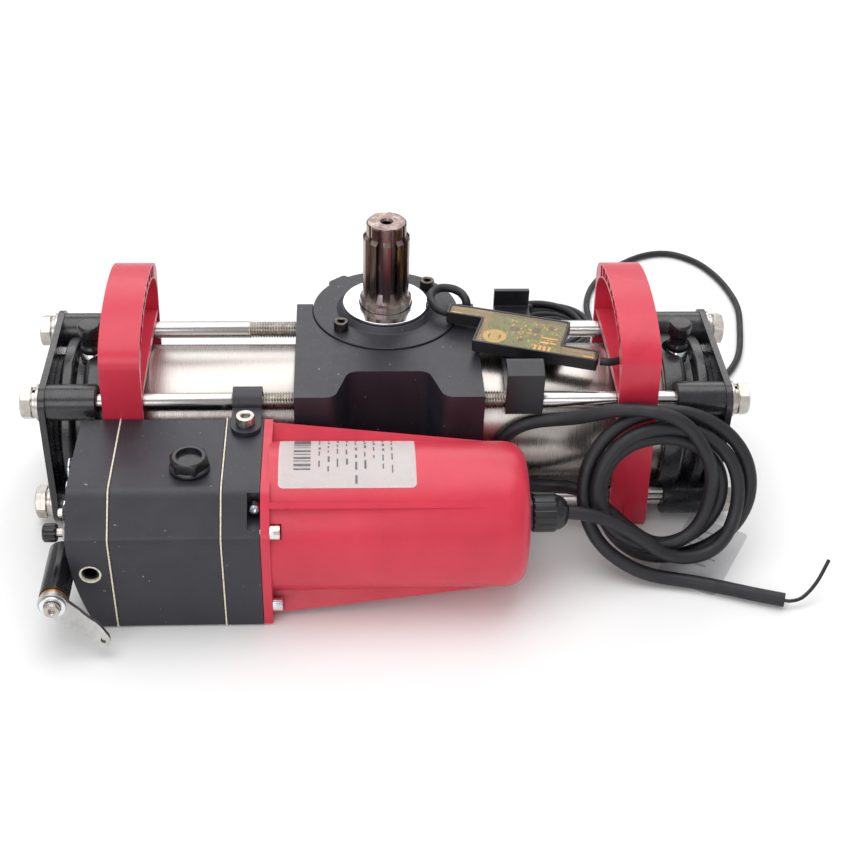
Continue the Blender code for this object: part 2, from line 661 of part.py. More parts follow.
def make_filler(plastic):
    plug = [(0, 69), (6.8, 69), (6.8, UNIT_TOP + GAP), (10.2, UNIT_TOP + GAP), (10.2, 80.4), (8.8, 81.4)]
    plug += [(8.8, 85.6), (8.2, 86.2), (5.6, 86.2), (5.2, 84.2), (0, 84.2)]
    solid("filler_plug", plastic, lathe(plug, centre=(*FILLER, 0), steps=MIDDLE))


def make_hanger(black, steel):
    """A strip hooked over the front upper rod, with a round tongue screwed to the pump block."""
    wall = ROD_R + 0.6
    y, z = rod_places()[0]
    over = arc(wall + 2.6, 0, 180, 9, (y, z)) + [(y - wall - 2.6, 80.6), (-91.0, 80.6), (-91.0, 78.3)]
    under = [(y - wall - 0.2, 78.3)] + list(reversed(arc(wall, 0, 170, 9, (y, z))))
    bracket = solid("hanger_bracket", black, prism(over + under, -82.4, -67.0, "X"))
    tongue = [(-82.4, -90.0)] + arc(7.7, 180, 360, 11, (-74.7, -97.4)) + [(-67.0, -90.0)]
    fuse(bracket, prism(tongue, 78.3, 80.6))
    cut(bracket, rod(3.3, 70, 90, centre=(*HANGER_SCREW, 0), steps=SMALL))
    solid("hanger_screw", steel, socket_screw(*HANGER_SCREW, 80.9, 5.0, 5.0, 2.8, 14, 2.5))


def make_release(black, steel):
    axis = (LEVER_X, 0, LEVER_Z)
    profile = [(0, -176.9), (6.5, -176.9), (6.5, -174.6), (7.5, -174.6), (7.5, -139.6), (0, -139.6)]
    boss = solid("lever_boss", black, lathe(profile, "Y", axis, MIDDLE))
    cut(boss, block((-160.8, -180, 0), (-150, -130, 60)))
    cut(boss, rod(3.2, -180, -150, "Y", axis, SMALL))
    long, angle = LEVER_LENGTH, LEVER_ANGLE
    plate = arc(7.5, 70, 290, 14) + arc(3.4, -70, 70, 7, (long, 0))
    lever = prism(plate, 0, 2.4, "Y")
    parts = lever.verts[:] + lever.edges[:] + lever.faces[:]
    bmesh.ops.bisect_plane(lever, geom=parts, plane_co=(long - 9, 0, 0), plane_no=(1, 0, 0))
    for vert in lever.verts:
        bend = max(0.0, vert.co.x - (long - 9))
        vert.co.y -= 0.45 * bend
    lever = moved(turned_about(lever, "Y", -angle), (LEVER_X, -179.6, LEVER_Z))
    handle = solid("release_lever", steel, lever, origin=(LEVER_X, -178.4, LEVER_Z))
    cut(handle, rod(3.2, -190, -170, "Y", axis, SMALL))
    tip = (LEVER_X + long * math.cos(angle), 0, LEVER_Z + long * math.sin(angle))
    cut(handle, rod(1.3, -195, -170, "Y", tip, SMALL))
    screw = [(0, -166), (2.8, -166), (2.8, -179.9), (6.5, -179.9), (6.5, -181.0), (4.0, -181.0)]
    screw += [(4.0, -183.6), (3.4, -184.2), (1.9, -184.2), (1.9, -182.4), (0, -182.4)]
    solid("lever_screw", steel, lathe(screw, "Y", axis, MIDDLE))


def make_adjuster(plastic):
    """By-pass adjuster: a knob on the end of its screw."""
    axis = (0, ADJUST_Y, ADJUST_Z)
    profile = [(0, -173.9), (3.9, -173.9), (4.8, -172.9), (4.8, -167.6), (4.2, -166.8), (2.5, -166.8)]
    profile += [(2.5, -151), (0, -151)]
    solid("adjuster", plastic, lathe(profile, "X", axis, MIDDLE), origin=(-168.0, ADJUST_Y, ADJUST_Z))


def make_pipe(steel):
    solid("pipe_right", steel, rod(3.1, 50.5, 152.9, "X", (0, PIPE_Y, PIPE_Z), SMALL))


def make_motor(steel, copper):
    axis = (0, MOTOR_Y, MOTOR_Z)
    solid("motor_stator", copper, washer(26, MOTOR_R - 4, -50, 38, "X", axis, LARGE))
    rotor = [(0, -72), (5, -72), (5, -40), (25.4, -40), (25.4, 30), (5, 30), (5, 44), (0, 44)]
    solid("motor_rotor", steel, lathe(rotor, "X", axis, LARGE), origin=axis)


def make_gland(plastic):
    axis = (0, GLAND_Y, GLAND_Z)
    bore = MOTOR_CABLE / 2 + GAP
    body = solid("gland_body", plastic, hexagon(19, MOTOR_END + GAP, 73.4, "X", axis))
    fuse(body, rod(5.6, 60, 72, "X", axis, MIDDLE))
    cut(body, rod(bore, 50, 80, "X", axis, SMALL))
    nut = [(bore, 73.7), (9.8, 73.7), (10.4, 74.6), (10.4, 85.4), (9.4, 86.8), (8.8, 89.0), (6.6, 91.5)]
    nut += [(4.9, 92.2), (bore, 92.2)]
    solid("gland_nut", plastic, lathe(nut, "X", axis, 24, ring=True))


# ---- Sensor ---------------------------------------------------------------------------------


def tray_outline():
    """The tray's Z-shaped plan: a rectangle with an arm at two opposite corners."""
    corners = [(-2.5, 0), (66, 0), (66, 10), (46, 10), (46, 34), (-22.5, 34), (-22.5, 24), (-2.5, 24)]
    c, s = math.cos(TRAY_YAW), math.sin(TRAY_YAW)
    return [(TRAY_CORNER[0] + u * c - v * s, TRAY_CORNER[1] + u * s + v * c) for u, v in corners]


def make_sensor(black):
    profile = [(-83.2, 75.7), (-83.2, 100.2), (-75.6, 103), (-70.6, 103), (-70.6, 91), (0.6, 91), (0.6, 101)]
    profile += [(3.6, 101), (3.6, 75.7), (0.6, 75.7), (0.6, 88), (-80.0, 88), (-80.0, 75.7)]
    solid("sensor_clip", black, prism(profile, 61.5, 81.5, "X"))
    solid("sensor_tray", black, prism(tray_outline(), TRAY_LOW, TRAY_HIGH))


# ---- Cables ---------------------------------------------------------------------------------

# Round the gear housing's rear corner, held at both ends
SENSOR_LEAD = (
    (34.2, -13.2, 95.6), (31.2, -12.0, 95.8), (27.6, -8.6, 96.4), (25.4, -2.4, 97.2), (26.6, 4.4, 97.8),
    (31.4, 8.8, 98.0), (37.6, 9.0, 97.6), (42.6, 6.0, 96.8), (45.2, 1.2, 95.6), (46.0, -1.4, 93.2),
    (46.0, -1.8, 90.4),
)
# From the gland down over the coil's front
MOTOR_START = (
    (92.6, -124.6, 42.3), (104, -124.8, 41.4), (116, -126, 37.2), (128, -127.6, 30.2), (139, -129.6, 22.4),
    (148, -131.8, 15.6), (158, -132.2, 11.4),
)
# From the coil's top left behind the motor and back to the coil
MOTOR_LOOP = (
    (130, -93.6, 89.8), (120, -93.4, 86.6), (109, -91.2, 80.6), (98, -86.6, 75.2), (88, -83.2, 71.9),
    (80, -82.75, 71.5), (71.4, -82.75, 69.8), (64.1, -82.75, 64.9), (59.2, -82.75, 57.6),
    (57.5, -82.75, 49.0), (59.2, -82.75, 40.4), (64.1, -82.75, 33.1), (71.4, -82.75, 28.2),
    (80, -82.75, 26.5), (90, -83.4, 26.7),
    (99, -87.4, 28.6), (106, -93.0, 32.0),
)
# From the coil's foot along the floor to the bare end
MOTOR_END_RUN = (
    (124, -132.6, 10.6), (134, -134.2, 7.2), (146, -135.4, 5.2), (158, -137.4, 4.6), (172, -141.2, 4.6),
    (188, -147.2, 4.5), (207.4, -153.3, 4.5),
)
# From the sensor tray through the right strap, down behind the head and round on the floor
ENCODER_RUN = (
    (113.4, -62.5, 95.4), (119.2, -63.2, 95.4), (126, -60, 95.2), (134, -52, 94.6), (141, -42, 93.2),
    (146, -26, 91.6), (146.6, -12, 90.0), (146.8, 0, 86.2), (147.4, 10, 76), (149.6, 16.5, 61),
    (153, 21, 44), (158, 25, 27), (165.6, 29.4, 12.4), (176, 34.4, 4.2), (190, 40, 2.5), (206, 47.4, 2.4),
    (220, 58.4, 2.4), (233, 81, 2.4), (241, 113, 2.4), (245, 142, 2.4), (241, 172, 2.4), (231, 196, 2.4),
    (218, 209, 2.4), (205, 213, 2.4), (190, 209, 2.4), (174, 198, 2.4), (158, 182, 2.4), (147, 163, 2.4),
    (141.5, 142, 2.4), (140.8, 120, 2.4),
)


def tilted_coil():
    """The motor cable's coil: a turned ring leaning back on the strap and the rods."""
    half = COIL_THICK / 2
    profile = [(COIL_INNER, 2 - half), (COIL_INNER + 2, -half), (COIL_OUTER - 2.5, -half)]
    profile += [(COIL_OUTER, 2.5 - half), (COIL_OUTER, half - 2.5), (COIL_OUTER - 2.5, half)]
    profile += [(COIL_INNER + 2, half), (COIL_INNER, half - 2)]
    ring = lathe(profile, steps=LARGE, ring=True)
    return moved(turned_about(ring, "X", COIL_TILT), COIL_CENTRE)


def stored_coil():
    """The encoder cable's spare length, wound flat on the floor behind the cylinder."""
    low, high = 0.3, STORE_HIGH
    profile = [(STORE_INNER, low), (STORE_OUTER, low), (STORE_OUTER, high), (STORE_INNER, high)]
    return lathe(profile, centre=STORE_CENTRE, steps=LARGE, ring=True)


def make_cables(rubber):
    cable("sensor_lead", rubber, SENSOR_LEAD, SENSOR_CABLE, 3, 1.2)
    cable("motor_cable_start", rubber, MOTOR_START, MOTOR_CABLE, 2)
    cable("motor_cable_loop", rubber, MOTOR_LOOP, MOTOR_CABLE, 2)
    cable("motor_cable_end", rubber, MOTOR_END_RUN, MOTOR_CABLE, 2)
    solid("motor_cable_coil", rubber, tilted_coil())
    cable("encoder_cable", rubber, ENCODER_RUN, ENCODER_CABLE, 2, 2.9)
    solid("encoder_coil", rubber, stored_coil())


def build():
    clear_scene()
    black = finish("anodised_black", (0.028, 0.028, 0.034), 0.45)
    iron = finish("cast_black", (0.02, 0.02, 0.022), 0.5)
    steel = finish("bright_steel", (0.55, 0.54, 0.52), 0.3, 1.0)
    zinc = finish("zinc_plate", (0.72, 0.74, 0.77), 0.22, 1.0)
    dark_steel = finish("dark_steel", (0.24, 0.21, 0.2), 0.3, 1.0)
    bronze = finish("bronze", (0.6, 0.3, 0.12), 0.35, 1.0)
    copper = finish("copper_winding", (0.55, 0.25, 0.12), 0.45, 1.0)
    red = finish("red_plastic", (0.6, 0.03, 0.06), 0.35)
    plastic = finish("black_plastic", (0.022, 0.022, 0.025), 0.4)
    rubber = finish("black_rubber", (0.03, 0.03, 0.034), 0.55)
    paper = finish("paper", (0.85, 0.83, 0.78), 0.8)
    make_housing(black)
    make_cap(black)
    make_cap_screws(steel)
    make_shaft(dark_steel)
    make_pinion(steel)
    make_shaft_rings(zinc, bronze, rubber)
    make_rack(steel)
    make_pistons(steel)
    make_cylinders(steel)
    make_heads(iron)
    make_bleeds(plastic)
    make_bolts(steel)
    make_straps(red)
    make_valve_block(black)
    make_tank(black, paper)
    make_pump_block(black)
    make_cover(red)
    make_cover_screws(steel)
    make_filler(plastic)
    make_hanger(black, steel)
    make_release(black, steel)
    make_adjuster(plastic)
    make_pipe(steel)
    make_motor(steel, copper)
    make_gland(plastic)
    make_sensor(plastic)
    make_cables(rubber)


build()
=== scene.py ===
"""Looks of the hydraulic rack-and-pinion gate actuator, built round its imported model.

Lengths here are millimetres, scaled by MM where a mesh is made. Round and machined pieces are
made again with fine edges and stand for the plain solids of the model.
"""

import json
import math
import random

import bmesh
import bpy
from mathutils import Matrix, Vector

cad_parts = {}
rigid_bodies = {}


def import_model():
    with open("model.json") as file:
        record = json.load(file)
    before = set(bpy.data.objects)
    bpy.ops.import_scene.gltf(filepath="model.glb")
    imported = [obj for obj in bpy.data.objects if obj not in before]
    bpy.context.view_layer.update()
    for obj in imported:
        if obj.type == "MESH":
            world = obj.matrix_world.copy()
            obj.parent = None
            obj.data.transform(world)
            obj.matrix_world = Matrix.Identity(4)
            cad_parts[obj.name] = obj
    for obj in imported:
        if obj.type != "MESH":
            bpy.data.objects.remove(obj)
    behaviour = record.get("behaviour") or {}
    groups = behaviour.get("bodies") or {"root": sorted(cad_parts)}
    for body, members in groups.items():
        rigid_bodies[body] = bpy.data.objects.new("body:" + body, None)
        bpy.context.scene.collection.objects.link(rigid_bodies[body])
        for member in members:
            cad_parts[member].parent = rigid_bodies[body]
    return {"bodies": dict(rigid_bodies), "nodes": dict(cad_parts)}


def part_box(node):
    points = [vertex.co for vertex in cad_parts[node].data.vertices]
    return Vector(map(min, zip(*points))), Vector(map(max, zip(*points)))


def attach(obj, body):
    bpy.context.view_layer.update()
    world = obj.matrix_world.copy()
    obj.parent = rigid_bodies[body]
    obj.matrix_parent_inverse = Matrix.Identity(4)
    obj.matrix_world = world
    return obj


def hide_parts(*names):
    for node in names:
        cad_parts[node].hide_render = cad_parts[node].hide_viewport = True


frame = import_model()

MM = 0.001
for spare in set(bpy.context.scene.objects) - set(frame["nodes"].values()) - set(frame["bodies"].values()):
    bpy.data.objects.remove(spare)
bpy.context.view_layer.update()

# The camera, above and in front of the power unit's side
CAMERA_AT, CAMERA_TO = Vector((-24.7, -739.3, 553.7)), Vector((22.0, -39.6, 36.8))
CAMERA_ROLL = math.radians(1.89)
CAMERA_LENS = 64.95


def span(node):
    """A node's lowest and highest corners, and its middle, in millimetres."""
    low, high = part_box(node)
    return low / MM, high / MM, (low + high) / 2 / MM


# ---- Camera, floor and light ----


def make_camera():
    back = (CAMERA_AT - CAMERA_TO).normalized()
    right = Vector((0, 0, 1)).cross(back).normalized()
    up = back.cross(right)
    c, s = math.cos(CAMERA_ROLL), math.sin(CAMERA_ROLL)
    right, up = c * right + s * up, c * up - s * right
    data = bpy.data.cameras.new("camera")
    data.lens = CAMERA_LENS
    data.sensor_width = 36
    data.clip_start, data.clip_end = 0.01, 20
    camera = bpy.data.objects.new("camera", data)
    turn = Matrix((right, up, back)).transposed().to_4x4()
    camera.matrix_world = Matrix.Translation(CAMERA_AT * MM) @ turn
    bpy.context.scene.collection.objects.link(camera)
    bpy.context.scene.camera = camera


# ---- Cables ----

MOTOR_CABLE, ENCODER_CABLE, SENSOR_CABLE = 7.4, 4.2, 4.8
COIL_CENTRE, COIL_TILT = Vector((145.0, -109.0, 45.1)), math.radians(70)
STORE_CENTRE = Vector((108.0, 104.0, 0.2))

# Round the gear housing's rear corner
SENSOR_LEAD = (
    (34.2, -13.2, 95.6), (31.2, -12.0, 95.8), (27.6, -8.6, 96.4), (25.4, -2.4, 97.2), (26.6, 4.4, 97.8),
    (31.4, 8.8, 98.0), (37.6, 9.0, 97.6), (42.6, 6.0, 96.8), (45.2, 1.2, 95.6), (46.0, -1.4, 93.2),
    (46.0, -1.8, 90.4),
)
# From the gland down over the coil's front
MOTOR_START = (
    (92.6, -124.6, 42.3), (104, -124.8, 41.4), (116, -126, 37.2), (128, -127.6, 30.2), (139, -129.6, 22.4),
    (148, -131.8, 15.6), (158, -132.2, 11.4),
)
# From the coil's top left behind the motor and back to the coil
MOTOR_LOOP = (
    (130, -93.6, 89.8), (120, -93.4, 86.6), (109, -91.2, 80.6), (98, -86.6, 75.2), (88, -83.2, 71.9),
    (80, -82.75, 71.5), (71.4, -82.75, 69.8), (64.1, -82.75, 64.9), (59.2, -82.75, 57.6),
    (57.5, -82.75, 49.0), (59.2, -82.75, 40.4), (64.1, -82.75, 33.1), (71.4, -82.75, 28.2),
    (80, -82.75, 26.5), (90, -83.4, 26.7), (99, -87.4, 28.6), (106, -93.0, 32.0),
)
# From the coil's foot along the floor to the bare end
MOTOR_END_RUN = (
    (124, -132.6, 10.6), (134, -134.2, 7.2), (146, -135.4, 5.2), (158, -137.4, 4.6), (172, -141.2, 4.6),
    (188, -147.2, 4.5), (207.4, -153.3, 4.5),
)
# From the sensor tray through the right strap, down behind the head and round on the floor
ENCODER_RUN = (
    (113.4, -62.5, 95.4), (119.2, -63.2, 95.4), (126, -60, 95.2), (134, -52, 94.6), (141, -42, 93.2),
    (146, -26, 91.6), (146.6, -12, 90.0), (146.8, 0, 86.2), (147.4, 10, 76), (149.6, 16.5, 61),
    (153, 21, 44), (158, 25, 27), (165.6, 29.4, 12.4), (176, 34.4, 4.2), (190, 40, 2.5), (206, 47.4, 2.4),
    (220, 58.4, 2.4), (233, 81, 2.4), (241, 113, 2.4), (245, 142, 2.4), (241, 172, 2.4), (231, 196, 2.4),
    (218, 209, 2.4), (205, 213, 2.4), (190, 209, 2.4), (174, 198, 2.4), (158, 182, 2.4), (147, 163, 2.4),
    (141.5, 142, 2.4), (140.8, 120, 2.4),
)


def smooth_route(points, spacing):
    """Points at an even spacing on a Catmull-Rom curve through the given points."""
    ends = [2 * Vector(points[0]) - Vector(points[1])]
    ends += [Vector(point) for point in points]
    ends.append(2 * ends[-1] - ends[-2])
    fine = []
    for a, b, c, d in zip(ends, ends[1:], ends[2:], ends[3:]):
        for k in range(20):
            t = k / 20
            cubic = (3 * b - a - 3 * c + d) * t**3 + (2 * a - 5 * b + 4 * c - d) * t**2
            fine.append((cubic + (c - a) * t + 2 * b) / 2)
    fine.append(ends[-2])
    total = sum((q - p).length for p, q in zip(fine, fine[1:]))
    step = total / round(total / spacing)
    route, along, goal = [fine[0]], 0.0, step
    for p, q in zip(fine, fine[1:]):
        length = (q - p).length
        while along + length >= goal - 1e-6 and length > 0:
            route.append(p.lerp(q, (goal - along) / length))
            goal += step
        along += length
    return route


def relaxed(route, rounds):
    """The route eased towards the middle of each point's neighbours, as a stiff cable lies."""
    for _ in range(rounds):
        middle = [(a + 2 * b + c) / 4 for a, b, c in zip(route, route[1:], route[2:])]
        route = [route[0]] + middle + [route[-1]]
    return route


def blended(stops, angle):
    """The value at an angle, eased between (angle, value) stops."""
    for (a, low), (b, high) in zip(stops, stops[1:]):
        if angle <= b:
            t = (angle - a) / (b - a)
            return low + (high - low) * t * t * (3 - 2 * t)
    return stops[-1][1]


def coil_turns(radii, fronts, step=20):
    """Points of the tilted coil between two angles; radii and fronts are (angle, value) stops."""
    c, s = math.cos(COIL_TILT), math.sin(COIL_TILT)
    points = []
    first, last = radii[0][0], radii[-1][0]
    count = round((last - first) / step)
    for k in range(count + 1):
        angle = first + (last - first) * k / count
        r, out = blended(radii, angle), blended(fronts, angle)
        u, v = r * math.cos(math.radians(angle)), r * math.sin(math.radians(angle))
        points.append(COIL_CENTRE + Vector((u, v * c - out * s, v * s + out * c)))
    return points


def motor_route():
    """Gland, one and a half turns, the loop behind the motor, two turns and the bare end."""
    first_radii = (
        (-52, 43.5), (0, 41.2), (90, 35), (180, 37), (270, 32.5), (360, 26), (400, 29), (452, 43.5),
    )
    first_fronts = (
        (-52, 8.6), (0, 2.5), (90, 2), (180, 4.2), (270, 3.8), (360, 2), (410, 10.5), (452, 6.4),
    )
    last_radii = (
        (-98, 34), (0, 33.6), (90, 28), (180, 33), (270, 41), (360, 48.6), (450, 42.5), (540, 43),
        (585, 44.5),
    )
    last_fronts = (
        (-98, -5.4), (0, -1.5), (90, -3), (180, -4.4), (270, -4.2), (360, -0.6), (450, -3), (540, 0),
        (585, 7.4),
    )
    points = [Vector(p) for p in MOTOR_START[:-1]]
    points += coil_turns(first_radii, first_fronts)
    points += [Vector(p) for p in MOTOR_LOOP[1:]]
    points += coil_turns(last_radii, last_fronts)
    points += [Vector(p) for p in MOTOR_END_RUN[1:]]
    return smooth_route(relaxed(smooth_route(points, 4.0), 9), 2.0)


def encoder_route():
    """The visible run, then eight turns wound on the floor, three abreast and three high."""
    pitch = 4.45
    lanes = [28.8 - pitch * k for k in (0, 1, 2, 2, 1, 0, 0, 1)]
    levels = [2.4 + pitch * 0.98 * k for k in (0, 0, 0, 1, 1, 1, 2, 2)]
    points = [Vector(p) for p in ENCODER_RUN]
    per_turn, unwound = 24, 5
    for k in range(len(lanes) * per_turn - unwound):
        turn, part = divmod(k, per_turn)
        after = min(turn + 1, len(lanes) - 1)
        change = max(0.0, part / per_turn * 3 - 2)
        change = change * change * (3 - 2 * change)
        r = lanes[turn] + (lanes[after] - lanes[turn]) * change
        z = levels[turn] + (levels[after] - levels[turn]) * change
        angle = -math.tau * (k - 1) / per_turn
        side = Vector((r * math.cos(angle), r * math.sin(angle)))
        points.append(Vector((STORE_CENTRE.x + side.x, STORE_CENTRE.y + side.y, z)))
    return smooth_route(points, 1.6)


def tube(name, route, diameter, resolution=5):
    """A round cable as a curve of one open spline."""
    curve = bpy.data.curves.new(name, "CURVE")
    curve.dimensions = "3D"
    curve.bevel_depth = diameter / 2 * MM
    curve.bevel_resolution = resolution
    curve.use_fill_caps = True
    spline = curve.splines.new("POLY")
    spline.points.add(len(route) - 1)
    for point, place in zip(spline.points, route):
        point.co = (*(place * MM), 1)
    spline.use_smooth = True
    obj = bpy.data.objects.new(name, curve)
    bpy.context.scene.collection.objects.link(obj)
    return obj


# ---- Shapes ----

ROUND, FINE, SMALL = 128, 64, 32


def turn_axes(shape, axis):
    """Lay a shape made along Z along another axis: X takes (z, x, y), Y takes (x, z, y)."""
    for vert in shape.verts:
        x, y, z = vert.co
        if axis == "X":
            vert.co = (z, x, y)
        elif axis == "Y":
            vert.co = (x, z, y)
    return shape


def moved(shape, offset):
    bmesh.ops.translate(shape, vec=offset, verts=shape.verts)
    return shape


def turned(shape, axis, angle, centre=(0, 0, 0)):
    bmesh.ops.rotate(shape, cent=centre, matrix=Matrix.Rotation(angle, 3, axis), verts=shape.verts)
    return shape


def prism(outline, low, high, axis="Z"):
    """An outline of (u, v) points, extruded from low to high along an axis."""
    shape = bmesh.new()
    face = shape.faces.new([shape.verts.new((u, v, low)) for u, v in outline])
    grown = bmesh.ops.extrude_face_region(shape, geom=[face])
    top = [item for item in grown["geom"] if isinstance(item, bmesh.types.BMVert)]
    bmesh.ops.translate(shape, vec=(0, 0, high - low), verts=top)
    return turn_axes(shape, axis)


def block(low, high):
    outline = ((low[0], low[1]), (high[0], low[1]), (high[0], high[1]), (low[0], high[1]))
    return prism(outline, low[2], high[2])


def eased(profile, radius, closed=False):
    """The profile with each corner rounded by up to a radius."""
    points = [Vector(p) for p in profile]
    last = len(points) - 1
    result = []
    for k, point in enumerate(points):
        if not closed and k in (0, last):
            result.append(point)
            continue
        before, after = points[k - 1], points[(k + 1) % len(points)]
        reach = min(radius, (before - point).length * 0.45, (after - point).length * 0.45)
        start = point + (before - point).normalized() * reach
        end = point + (after - point).normalized() * reach
        for t in (0, 0.25, 0.5, 0.75, 1):
            result.append(start * (1 - t) ** 2 + point * 2 * t * (1 - t) + end * t**2)
    return [tuple(p) for p in result]


def lathe(profile, axis="Z", centre=(0, 0, 0), steps=FINE, ring=False, ease=0.0):
    """A profile of (radius, height) points, spun about an axis; ring closes the profile."""
    if ease:
        profile = eased(profile, ease, ring)
    shape = bmesh.new()
    row = [shape.verts.new((radius, 0, height)) for radius, height in profile]
    edges = [shape.edges.new(pair) for pair in zip(row, row[1:])]
    if ring:
        edges.append(shape.edges.new((row[-1], row[0])))
    bmesh.ops.spin(shape, geom=row + edges, cent=(0, 0, 0), axis=(0, 0, 1), angle=math.tau,
                   steps=steps, use_merge=True)
    bmesh.ops.remove_doubles(shape, verts=shape.verts, dist=1e-4)
    return moved(turn_axes(shape, axis), centre)


def rod(radius, low, high, axis="Z", centre=(0, 0, 0), steps=FINE):
    return lathe(((0, low), (radius, low), (radius, high), (0, high)), axis, centre, steps)


def ring(inner, outer, low, high, axis="Z", centre=(0, 0, 0), steps=FINE, ease=0.0):
    profile = ((inner, low), (outer, low), (outer, high), (inner, high))
    return lathe(profile, axis, centre, steps, True, ease)


def hexagon(flats, low, high, axis="Z", centre=(0, 0, 0), turn=0.0):
    radius = flats / math.sqrt(3)
    angles = [turn + k * math.pi / 3 for k in range(6)]
    outline = [(radius * math.cos(a), radius * math.sin(a)) for a in angles]
    return moved(prism(outline, low, high, axis), centre)


def arc(radius, start, end, count, centre=(0, 0)):
    """Points on a circle from one angle in degrees to another."""
    angles = [math.radians(start + (end - start) * k / (count - 1)) for k in range(count)]
    return [(centre[0] + radius * math.cos(a), centre[1] + radius * math.sin(a)) for a in angles]


def bezier(a, b, c, d, count):
    """Points on a cubic curve."""
    points = []
    for k in range(count):
        t = k / (count - 1)
        weights = ((1 - t) ** 3, 3 * t * (1 - t) ** 2, 3 * t * t * (1 - t), t**3)
        points.append(tuple(sum(w * p[i] for w, p in zip(weights, (a, b, c, d))) for i in (0, 1)))
    return points


def shapes_joined(*shapes):
    """Several shapes as one bmesh."""
    whole = bmesh.new()
    for shape in shapes:
        mesh = bpy.data.meshes.new("joined")
        shape.to_mesh(mesh)
        whole.from_mesh(mesh)
        bpy.data.meshes.remove(mesh)
        shape.free()
    return whole


# ---- Pieces ----


def to_object(name, shape):
    mesh = bpy.data.meshes.new(name)
    bmesh.ops.scale(shape, vec=(MM, MM, MM), verts=shape.verts)
    bmesh.ops.recalc_face_normals(shape, faces=shape.faces)
    shape.to_mesh(mesh)
    shape.free()
    obj = bpy.data.objects.new(name, mesh)
    bpy.context.scene.collection.objects.link(obj)
    return obj


def combined(obj, operation, *shapes):
    """Boolean each shape into the object and keep the result as its mesh."""
    for shape in shapes:
        tool = to_object("tool", shape)
        modifier = obj.modifiers.new("shape", "BOOLEAN")
        modifier.operation = operation
        modifier.object = tool
        modifier.solver = "EXACT"
        bpy.context.view_layer.update()
        evaluated = obj.evaluated_get(bpy.context.evaluated_depsgraph_get())
        mesh = bpy.data.meshes.new_from_object(evaluated)
        obj.modifiers.clear()
        obj.data = mesh
        bpy.data.objects.remove(tool)
    return obj


def cut(obj, *shapes):
    return combined(obj, "DIFFERENCE", *shapes)


def fuse(obj, *shapes):
    return combined(obj, "UNION", *shapes)


def dressed(obj, material, body="frame", nodes=(), bevel=0.0, angle=32):
    """Material, shading and edges of a piece, the body it rides on and the nodes it stands for."""
    obj.data.materials.clear()
    obj.data.materials.append(material)
    if obj.type == "MESH":
        obj.data.shade_smooth()
        if bevel:
            modifier = obj.modifiers.new("edges", "BEVEL")
            modifier.width = bevel * MM
            modifier.segments = 2
            modifier.limit_method = "ANGLE"
            modifier.angle_limit = math.radians(angle)
            modifier.harden_normals = True
            modifier.miter_outer = "MITER_ARC"
        else:
            obj.data.set_sharp_from_angle(angle=math.radians(angle))
    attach(obj, body)
    if nodes:
        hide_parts(*nodes)
    return obj


def piece(name, shape, material, body="frame", nodes=(), bevel=0.0, angle=32):
    return dressed(to_object(name, shape), material, body, nodes, bevel, angle)


# ---- Materials ----


class Surface:
    """A procedural material: a Principled shader and the few patterns that feed it."""

    def __init__(self, name, roughness, metallic=0.0):
        self.material = bpy.data.materials.new(name)
        self.material.use_nodes = True
        self.tree = self.material.node_tree
        self.shader = self.tree.nodes["Principled BSDF"]
        self.shader.inputs["Metallic"].default_value = metallic
        self.shader.inputs["Roughness"].default_value = roughness
        self.place = self.tree.nodes.new("ShaderNodeTexCoord").outputs["Object"]
        self.bump = None

    def join(self, output, target):
        self.tree.links.new(output, target)

    def stretched(self, scale):
        mapping = self.tree.nodes.new("ShaderNodeMapping")
        mapping.inputs["Scale"].default_value = scale
        self.join(self.place, mapping.inputs["Vector"])
        return mapping.outputs["Vector"]

    def noise(self, scale, detail=3.0, rough=0.55, stretch=None, distortion=0.0):
        node = self.tree.nodes.new("ShaderNodeTexNoise")
        node.inputs["Scale"].default_value = scale
        node.inputs["Detail"].default_value = detail
        node.inputs["Roughness"].default_value = rough
        node.inputs["Distortion"].default_value = distortion
        self.join(self.stretched(stretch) if stretch else self.place, node.inputs["Vector"])
        return node.outputs["Fac"]

    def ramp(self, value, stops):
        """Colours by value: stops are (position, colour)."""
        node = self.tree.nodes.new("ShaderNodeValToRGB")
        elements = node.color_ramp.elements
        while len(elements) < len(stops):
            elements.new(0.5)
        for element, (position, colour) in zip(elements, stops):
            element.position = position
            element.color = (*colour, 1)
        self.join(value, node.inputs["Fac"])
        return node.outputs["Color"]

    def between(self, value, low, high, start=0.3, end=0.7):
        node = self.tree.nodes.new("ShaderNodeMapRange")
        for key, number in (("From Min", start), ("From Max", end), ("To Min", low), ("To Max", high)):
            node.inputs[key].default_value = number
        self.join(value, node.inputs["Value"])
        return node.outputs["Result"]

    def mixed(self, factor, first, second):
        node = self.tree.nodes.new("ShaderNodeMix")
        node.data_type = "RGBA"
        self.join(factor, node.inputs["Factor"])
        for socket, colour in ((node.inputs["A"], first), (node.inputs["B"], second)):
            if isinstance(colour, tuple):
                socket.default_value = (*colour, 1)
            else:
                self.join(colour, socket)
        return node.outputs["Result"]

    def colour(self, output):
        self.join(output, self.shader.inputs["Base Color"])

    def roughness(self, output):
        self.join(output, self.shader.inputs["Roughness"])

    def relief(self, value, depth, strength=1.0):
        """Bump of a depth in millimetres, added over any set before."""
        node = self.tree.nodes.new("ShaderNodeBump")
        node.inputs["Distance"].default_value = depth * MM
        node.inputs["Strength"].default_value = strength
        self.join(value, node.inputs["Height"])
        if self.bump:
            self.join(self.bump, node.inputs["Normal"])
        self.bump = node.outputs["Normal"]
        self.join(self.bump, self.shader.inputs["Normal"])

    def set(self, **values):
        for key, value in values.items():
            self.shader.inputs[key.replace("_", " ")].default_value = value
        return self


